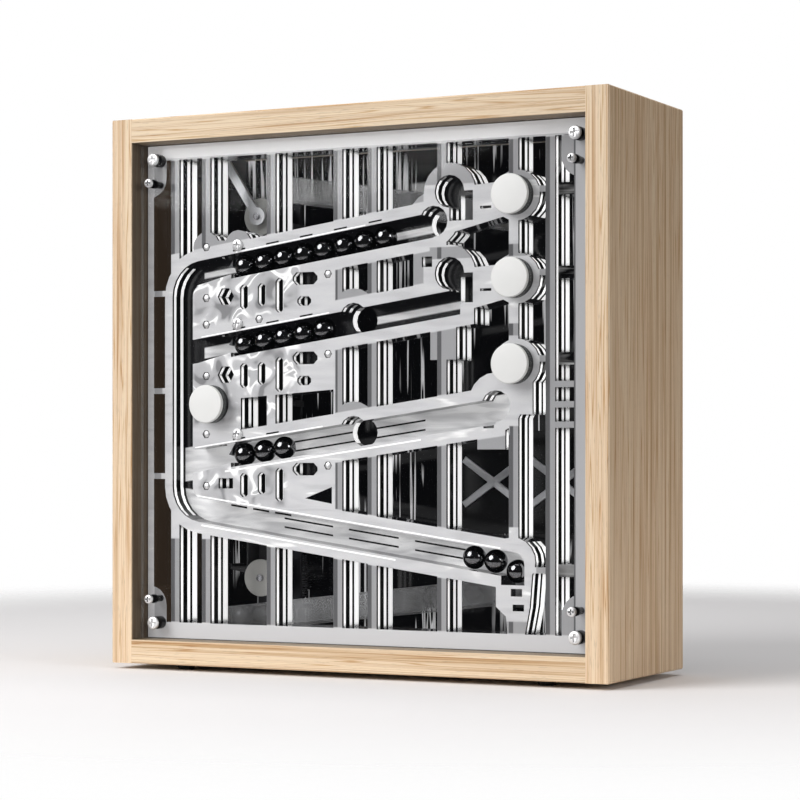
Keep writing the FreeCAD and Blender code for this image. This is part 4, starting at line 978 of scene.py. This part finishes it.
def solids_of(node: str) -> list[Extent]:
    """The extent of each separate solid of a node.

    Points at one place share a number, and each number takes the lowest one that an edge
    joins it to until nothing changes, so every closed solid ends with one number.

    Args:
        node: the node of the frame.

    Returns:
        The extents, from the leftmost solid to the rightmost.
    """
    mesh = frame["nodes"][node].data
    points = np.empty(len(mesh.vertices) * 3)
    mesh.vertices.foreach_get("co", points)
    points = points.reshape(-1, 3)
    same = np.unique(np.round(points, 6), axis=0, return_inverse=True)[1].ravel()
    edges = np.empty(len(mesh.edges) * 2, int)
    mesh.edges.foreach_get("vertices", edges)
    first, second = same[edges].reshape(-1, 2).T
    number = np.arange(same.max() + 1)
    before = None
    while before is None or not np.array_equal(before, number):
        before = number.copy()
        np.minimum.at(number, first, before[second])
        np.minimum.at(number, second, before[first])
        number = number[number]
    marks = number[same]
    found = [(points[marks == m].min(0), points[marks == m].max(0)) for m in np.unique(marks)]
    found.sort(key=lambda corners: (round(corners[0][0], 4), corners[0][2]))
    return [extent(*corners) for corners in found]


def rod(low: float, high: float, radius: float, x: float, z: float) -> Shell:
    """A round rod along Y from low to high with broken edges."""
    return turned(rounded([(0, low), (radius, low), (radius, high), (0, high)], ROD_EDGE),
                  x, z)


def ring(place: Extent, inner: float) -> Shell:
    """A sleeve along Y that fills an extent, with broken edges."""
    outer, middle = place.radius, (place.radius + inner) / 2
    return turned(rounded([(middle, place.front), (outer, place.front), (outer, place.back),
                           (inner, place.back), (inner, place.front), (middle, place.front)],
                          RING_EDGE), place.x, place.z)


def screw(place: Extent, head: float, shank: float, facing: float = -1.0) -> list[Shell]:
    """A screw along Y.

    Args:
        place: its extent.
        head: height of its head.
        shank: radius of its shank.
        facing: -1 for a head that faces the front, 1 for the back.

    Returns:
        Its head and its shank.
    """
    start, end = place.front, place.back
    start, end = (start + head, end) if facing < 0 else (start, end - head)
    return [crossed_head(place, head, facing), rod(start, end, shank, place.x, place.z)]


class Assembly:
    """A sub-assembly: new pieces, solids kept as they are, and solids to be rounded."""

    kept: ClassVar[dict[str, Finish]] = {}
    soft: ClassVar[dict[str, tuple[Finish, float]]] = {}

    def build(self) -> None:
        """Makes the new pieces, of which a sub-assembly may have none."""

    def dress(self) -> None:
        """Finishes the kept solids, and makes the copies with rounded edges."""
        for node, finish in self.kept.items():
            dress(node, finish)
        for node, (finish, edge_mm) in self.soft.items():
            softened(node, finish, edge_mm)


@dataclass
class Case(Assembly):
    """Wooden box: four boards, corner posts, feet, back panel and power inlet."""

    kept = {"left_board": ASH_UPRIGHT, "right_board": ASH_UPRIGHT, "top_board": ASH_LEVEL,
            "bottom_board": ASH_LEVEL, "corner_posts": PINE_POST}
    soft = {"back_panel": (BACK_SHEET, 0.4)}
    screw_head: float = 1.8 * MM
    screw_neck: float = 0.43
    foot_sole: float = 0.86
    foot_rim: float = 0.8
    foot_edge: float = 0.5 * MM
    inlet_pin: float = 1.0 * MM
    inlet_flange: float = 1.6 * MM
    inlet_bore: float = 3.2 * MM
    inlet_floor: float = 4.6 * MM
    inlet_edge: float = 0.35 * MM
    pin_root: float = 1 * MM
    pin_depth: float = 2 * MM

    def build(self) -> None:
        """Makes the feet, the back panel's screws and the inlet."""
        feet = []
        for foot in solids_of("rubber_feet"):
            corners = [(0, 0), (foot.radius * self.foot_sole, 0),
                       (foot.radius, foot.top * self.foot_rim), (foot.radius, foot.top),
                       (0, foot.top)]
            feet.append(turned(rounded(corners, self.foot_edge), foot.x, foot.y, Axis.Z))
        piece("rubber_feet", feet, FOOT_RUBBER)
        piece("back_screws", [shell for place in solids_of("back_screws") for shell in
                              screw(place, self.screw_head, place.radius * self.screw_neck,
                                    1.0)], SCREW_STEEL)
        self.build_inlet()

    def build_inlet(self) -> None:
        """Makes the inlet: a flanged barrel with a bore and a contact pin in it."""
        place, bore = whole("power_inlet"), self.inlet_bore
        barrel, lip = place.radius - self.inlet_flange, place.back - self.inlet_flange
        bottom = place.front + self.inlet_floor
        corners = [(0, place.front), (barrel, place.front), (barrel, lip),
                   (place.radius, lip), (place.radius, place.back), (bore, place.back),
                   (bore, bottom), (0, bottom)]
        barrel_shell = turned(rounded(corners, self.inlet_edge), place.x, place.z)
        pin = rod(bottom - self.pin_root, place.back - self.pin_depth, self.inlet_pin, place.x,
                  place.z)
        piece("power_inlet", [barrel_shell, pin], INLET_NYLON)


@dataclass
class Cover(Assembly):
    """Clear front cover with its corner screws and sleeves, and the studs beside them."""

    edge_mm: float = 0.4
    head: float = 1.8 * MM
    shank: float = 1.5 * MM
    slack: float = 0.1 * MM
    stud_head: float = 2.2 * MM
    stud_reach: float = 14 * MM
    neck: float = 0.72
    waist: float = 0.8
    collar_start: float = 3 * MM
    collar_end: float = 6 * MM
    collar_edge: float = 0.4 * MM

    def build(self) -> None:
        """Makes the cover, its screws, the sleeves and the studs."""
        softened("front_cover", COVER_SHEET, self.edge_mm)
        screws = [shell for place in solids_of("cover_screws")
                  for shell in screw(place, self.head, self.shank)]
        sleeves = [ring(place, self.shank + self.slack)
                   for place in solids_of("cover_spacers")]
        studs = [shell for place in solids_of("stack_studs") for shell in self.stud(place)]
        piece("cover_screws", screws, SCREW_STEEL)
        piece("cover_spacers", sleeves, BLACK_NYLON)
        self.blacken(piece("stack_studs", studs, SCREW_STEEL))

    def blacken(self, obj: bpy.types.Object) -> None:
        """Gives the studs a black oxide finish behind their heads."""
        obj.data.materials.append(OXIDE_STEEL.material())
        mesh = obj.data
        centres = np.empty(len(mesh.polygons) * 3)
        mesh.polygons.foreach_get("center", centres)
        along = centres[1::3]
        behind = along > along.min() + self.stud_head + self.slack
        mesh.polygons.foreach_set("material_index", behind.astype(int))

    def stud(self, place: Extent) -> list[Shell]:
        """A stud: crossed head, thin neck, collar and a long shank in the stack.

        Args:
            place: its extent.

        Returns:
            Its surfaces.
        """
        radius = place.radius
        neck, waist = radius * self.neck, radius * self.waist
        seat, plate = place.front + self.stud_head, place.front + self.stud_reach
        start, end, edge = seat + self.collar_start, seat + self.collar_end, self.collar_edge
        line = rounded([(0, seat), (neck, seat), (neck, start), (radius, start + edge),
                        (radius, end), (waist, end + edge), (waist, plate),
                        (self.shank, plate), (self.shank, place.back), (0, place.back)],
                       ROD_EDGE)
        return [crossed_head(place, self.stud_head), turned(line, place.x, place.z)]


@dataclass
class Stack(Assembly):
    """Three cut plates with their pins, and the gates with their pivot screws."""

    kept = {"front_plate": FRONT_SHEET, "channel_plate": CHANNEL_SHEET,
            "rear_plate": REAR_SHEET}
    soft = {node: (GATE_ACETAL, 0.3) for node in ("minutes_gate", "tens_gate", "hours_gate")}
    pin_dome: float = 1.3 * MM
    pin_steps: int = 32
    head: float = 1.8 * MM
    shank: float = 1.5 * MM

    def build(self) -> None:
        """Makes the pins, whose ends are quarter ellipses, and the pivot screws."""
        angle = np.linspace(0, np.pi / 2, 9)
        pins = []
        for pin in solids_of("dowel_pins"):
            dome = np.stack([pin.radius * np.sin(angle),
                             pin.front + self.pin_dome * (1 - np.cos(angle))], -1)
            line = np.vstack([dome, [(pin.radius, pin.back), (0, pin.back)]])
            pins.append(turned(line, pin.x, pin.z, steps=self.pin_steps))
        piece("dowel_pins", pins, SCREW_STEEL)
        piece("gate_screws", [shell for place in solids_of("gate_screws")
                              for shell in screw(place, self.head, self.shank)], SCREW_STEEL)


@dataclass
class Buttons(Assembly):
    """Four push buttons, each a barrel with a stem, a pale cap and a return bush."""

    names: tuple[str, ...] = ("minutes", "tens", "hours", "release")
    stem: float = 3.0 * MM
    barrel_length: float = 5.5 * MM
    barrel_edge: float = 0.4 * MM
    cap_edge: float = 0.7 * MM
    cap_dome: float = 0.15 * MM
    bush_wall: float = 3 * MM
    ease: float = 0.12 * MM
    steps: int = 96

    def build(self) -> None:
        """Makes caps, barrels and bushes."""
        for name in self.names:
            cap = whole(name + "_button_cap")
            radius = cap.radius - self.ease
            face = rounded([(0, cap.front), (radius, cap.front + self.cap_dome),
                            (radius, cap.back), (0, cap.back)], self.cap_edge, 6)
            face_shell = turned(face, cap.x, cap.z, steps=self.steps)
            piece(name + "_button_cap", [face_shell], CAP_ABS)
            back = whole(name + "_button").back
            step = cap.back + self.barrel_length
            body = rounded([(0, cap.back), (radius, cap.back), (radius, step),
                            (self.stem, step), (self.stem, back), (0, back)],
                           self.barrel_edge)
            body_shell = turned(body, cap.x, cap.z, steps=self.steps)
            piece(name + "_button", [body_shell], BARREL_ABS)
        piece("button_bushes", [ring(bush, bush.radius - self.bush_wall)
                                for bush in solids_of("button_bushes")], BLACK_NYLON)


@dataclass
class Balls(Assembly):
    """Polished steel balls in their tracks, on the low ramp and at the drop."""

    nodes: tuple[str, ...] = ("minutes_balls", "tens_balls", "hours_balls", "feed_balls",
                              "drop_ball", "waiting_balls")

    def build(self) -> None:
        """Makes one object for each group of balls."""
        for node in self.nodes:
            piece(node, [ball((place.x, place.y, place.z), place.radius)
                         for place in solids_of(node)], BEARING_STEEL)


@dataclass
class Lift(Assembly):
    """Belt lift: belt with cups, two pulleys, axle, drive shaft, bracket and motor."""

    soft = {"tension_arm": (STRAP_ALUMINIUM, 0.3), "lift_bracket": (BRACKET_STEEL, 0.3),
            "lift_motor": (MOTOR_STEEL, 0.5)}
    belt_middle: float = 9.28 * MM
    belt_half: float = 0.62 * MM
    belt_reach: float = 6 * MM
    belt_edge: float = 0.3 * MM
    bend_steps: int = 25
    cup_start: float = 6 * MM
    cup_pitch: float = 33 * MM
    cup_reach: float = 11 * MM
    cup_wall: float = 1.6 * MM
    cup_sink: float = 0.4 * MM
    cup_lip: float = 1.5 * MM
    cup_root: float = 2 * MM
    hub: float = 8.3 * MM
    flange: float = 1.2 * MM
    shaft: float = 2 * MM

    def build(self) -> None:
        """Makes the belt, the pulleys, the shafts and the rod of the arm."""
        low, top, hub = whole("low_pulley"), whole("top_pulley"), self.hub
        self.build_belt(low.x, low.y, low.z, top.z)
        for node, z, play in (("low_pulley", low.z, 0.0), ("top_pulley", top.z, 0.1 * MM)):
            rim, bore = low.radius, self.shaft + play
            start, end = low.front + self.flange, low.back - self.flange
            corners = [(hub / 2, low.front), (rim, low.front), (rim, start), (hub, start),
                       (hub, end), (rim, end), (rim, low.back), (bore, low.back),
                       (bore, low.front), (hub / 2, low.front)]
            piece(node, [turned(rounded(corners, RING_EDGE), low.x, z)], PULLEY_ACETAL)
        for node, z in (("drive_shaft", low.z), ("top_axle", top.z)):
            place = whole(node)
            piece(node, [rod(place.front, place.back, self.shaft, low.x, z)], SHAFT_STEEL)
        place = whole("arm_standoff")
        piece("arm_standoff", [rod(place.front, place.back, place.radius, place.x, place.z)],
              STRAP_ALUMINIUM)

    def build_belt(self, x: float, y: float, low_z: float, top_z: float) -> None:
        """Makes the belt and its cups.

        The belt's middle line is two half circles about the pulleys joined by straight
        runs.  At each point of it a rounded rectangle stands on the line's outward
        direction n and on Y: point = line + a n + b Y.

        Args:
            x: place of both pulleys' axes.
            y: middle of the belt's width.
            low_z: height of the lower axis.
            top_z: height of the upper axis.
        """
        turn = np.linspace(0, np.pi, self.bend_steps)
        angle = np.concatenate([turn, turn + np.pi])
        centre = np.repeat([top_z, low_z], self.bend_steps)
        outward = np.stack([np.cos(angle), 0 * angle, np.sin(angle)], -1)
        line = outward * self.belt_middle
        line[:, 0] += x
        line[:, 1] += y
        line[:, 2] += centre
        half, wide = self.belt_half, self.belt_reach
        section = rounded([(0, -wide), (half, -wide), (half, wide), (-half, wide),
                           (-half, -wide), (0, -wide)], self.belt_edge)
        points = line[:, None] + section[None, :, :1] * outward[:, None]
        points[:, :, 1] += section[None, :, 1]
        shells = [grid_shell(points, loop=True)]
        out, wall, lip = self.belt_middle + half - self.cup_sink, self.cup_wall, self.cup_lip
        tip = out + self.cup_reach
        cup = np.array([(out, 0), (tip - wall, 0), (tip - 0.5 * wall, lip), (tip, lip),
                        (tip, -wall), (out, -wall - self.cup_root)])
        for i in range(int((top_z - low_z) // self.cup_pitch)):
            for side, z in ((-1, low_z + self.cup_start + i * self.cup_pitch),
                            (1, top_z - self.cup_start - i * self.cup_pitch)):
                shells.append(pulled(cup * (side, -side) + (x, z), y - wide, y + wide))
        piece("lift_belt", shells, BELT_RUBBER)


@dataclass
class BackWorks(Assembly):
    """Ramps, control box with its board, and the crossed straps in front of it."""

    kept = {"control_board": BOARD_EPOXY}
    edge_mm: float = 0.35

    def build(self) -> None:
        """Makes softened copies of the bent and moulded pieces."""
        for node, finish in (("top_ramp", RAMP_SHEET), ("low_ramp", RAMP_SHEET),
                             ("control_box", BOX_ABS), ("cross_braces", STRAP_ALUMINIUM),
                             ("board_spacers", BLACK_NYLON)):
            softened(node, finish, self.edge_mm)


# ---------------------------------------------------------------- studio

@dataclass
class Studio:
    """Pale floor, soft lamps, a bright room behind the clock and the camera."""

    eye: tuple[float, float, float] = (0.6204, -1.2003, 0.1151)
    turn: float = 27.17
    lens: float = 111.5
    rise: float = 0.075
    floor_radius: float = 1.2
    floor_middle: tuple[float, float, float] = (-0.05, 0.25, 0.0)
    floor_fade: tuple[float, float] = (0.42, 0.8)
    floor: str = "ebe9e9"
    room: str = "ffffff"
    front_room: str = "3a3a3c"
    room_cosines: tuple[float, float] = (0.8, 0.97)
    # Name, place, radius in metres and power in watts of each lamp.
    lamps: tuple[tuple[str, tuple[float, float, float], float, float], ...] = (
        ("key", (-0.95, -1.47, 1.12), 0.76, 40.0), ("side", (1.85, -0.55, 0.62), 0.3, 8.0),
        ("top", (0.1, -0.1, 2.3), 1.1, 30.0))
    lit_point: tuple[float, float, float] = (0.0, 0.0, 0.15)

    def build(self) -> None:
        """Sets up floor, room, lamps and camera."""
        scene = bpy.context.scene
        scene.view_settings.view_transform = "Standard"
        self.build_floor()
        self.build_room(scene)
        for lamp in self.lamps:
            self.lamp(*lamp)
        camera = bpy.data.cameras.new("camera")
        camera.lens, camera.sensor_width, camera.shift_y = self.lens, 36, self.rise
        camera.clip_start, camera.clip_end = 0.05, 50
        eye = bpy.data.objects.new("camera", camera)
        eye.location = self.eye
        eye.rotation_euler = (math.radians(90), 0, math.radians(self.turn))
        scene.collection.objects.link(eye)
        scene.camera = eye

    def build_floor(self) -> None:
        """A round floor: rings of points at radius R s, clear towards its rim."""
        share = np.linspace(0, 1, 9)[:, None] * self.floor_radius
        angle = np.linspace(0, 2 * np.pi, 64, endpoint=False)[None, :]
        points = np.stack([share * np.cos(angle), share * np.sin(angle),
                           0 * share * angle - 0.0002], -1)
        shell = grid_shell(points)
        mesh = bpy.data.meshes.new("floor")
        mesh.from_pydata(shell.points.tolist(), [], [face[::-1] for face in shell.faces])
        material = bpy.data.materials.new("painted_floor_white")
        material.use_nodes = True
        tree = material.node_tree
        shader = tree.nodes["Principled BSDF"]
        shader.inputs["Base Color"].default_value = linear(self.floor)
        shader.inputs["Roughness"].default_value = 0.8
        place = add(tree, "TexCoord").outputs["Object"]
        far = add(tree, "VectorMath", {0: place, 1: self.floor_middle}, operation="DISTANCE")
        solid, gone = self.floor_fade
        fade = add(tree, "MapRange", {"Value": far.outputs["Value"], "From Min": solid,
                                      "From Max": gone, "To Min": 1.0, "To Max": 0.0},
                   interpolation_type="SMOOTHSTEP")
        tree.links.new(fade.outputs[0], shader.inputs["Alpha"])
        mesh.materials.append(material)
        floor = bpy.data.objects.new("floor", mesh)
        bpy.context.scene.collection.objects.link(floor)

    def build_room(self, scene: bpy.types.Scene) -> None:
        """The room's light: white behind the clock, grey before it, by direction."""
        world = bpy.data.worlds.new("room")
        world.use_nodes = True
        scene.world = world
        tree = world.node_tree
        ahead = (-math.sin(math.radians(self.turn)), math.cos(math.radians(self.turn)), 0.0)
        ray = add(tree, "TexCoord").outputs["Generated"]
        toward = add(tree, "VectorMath", {0: ray, 1: ahead}, operation="DOT_PRODUCT")
        beside, facing = self.room_cosines
        share = add(tree, "MapRange", {"Value": toward.outputs["Value"], "From Min": beside,
                                       "From Max": facing})
        tone = add(tree, "ValToRGB", {"Fac": share},
                   stops={0.0: self.front_room, 1.0: self.room})
        tree.links.new(tone.outputs[0], tree.nodes["Background"].inputs["Color"])

    def lamp(self, name: str, place: tuple[float, float, float], radius: float,
             power: float) -> None:
        """Adds a round soft lamp that faces the clock's middle.

        Args:
            name: of the lamp.
            place: where it stands.
            radius: of its disc.
            power: in watts.
        """
        light = bpy.data.lights.new(name, "AREA")
        light.shape, light.size, light.energy = "DISK", 2 * radius, power
        obj = bpy.data.objects.new(name, light)
        aim = np.array(self.lit_point) - place
        across = math.hypot(aim[0], aim[1])
        obj.location = place
        obj.rotation_euler = (math.atan2(across, -aim[2]), 0, math.atan2(-aim[0], aim[1]))
        bpy.context.scene.collection.objects.link(obj)


def main() -> None:
    """Builds and finishes every sub-assembly, then the studio."""
    logging.basicConfig(level=logging.INFO, format="%(name)s %(message)s")
    for part in (Case(), Cover(), Stack(), Buttons(), Balls(), Lift(), BackWorks()):
        LOG.info("building %s", type(part).__name__)
        part.build()
        part.dress()
    Studio().build()


if __name__ == "__main__":
    main()
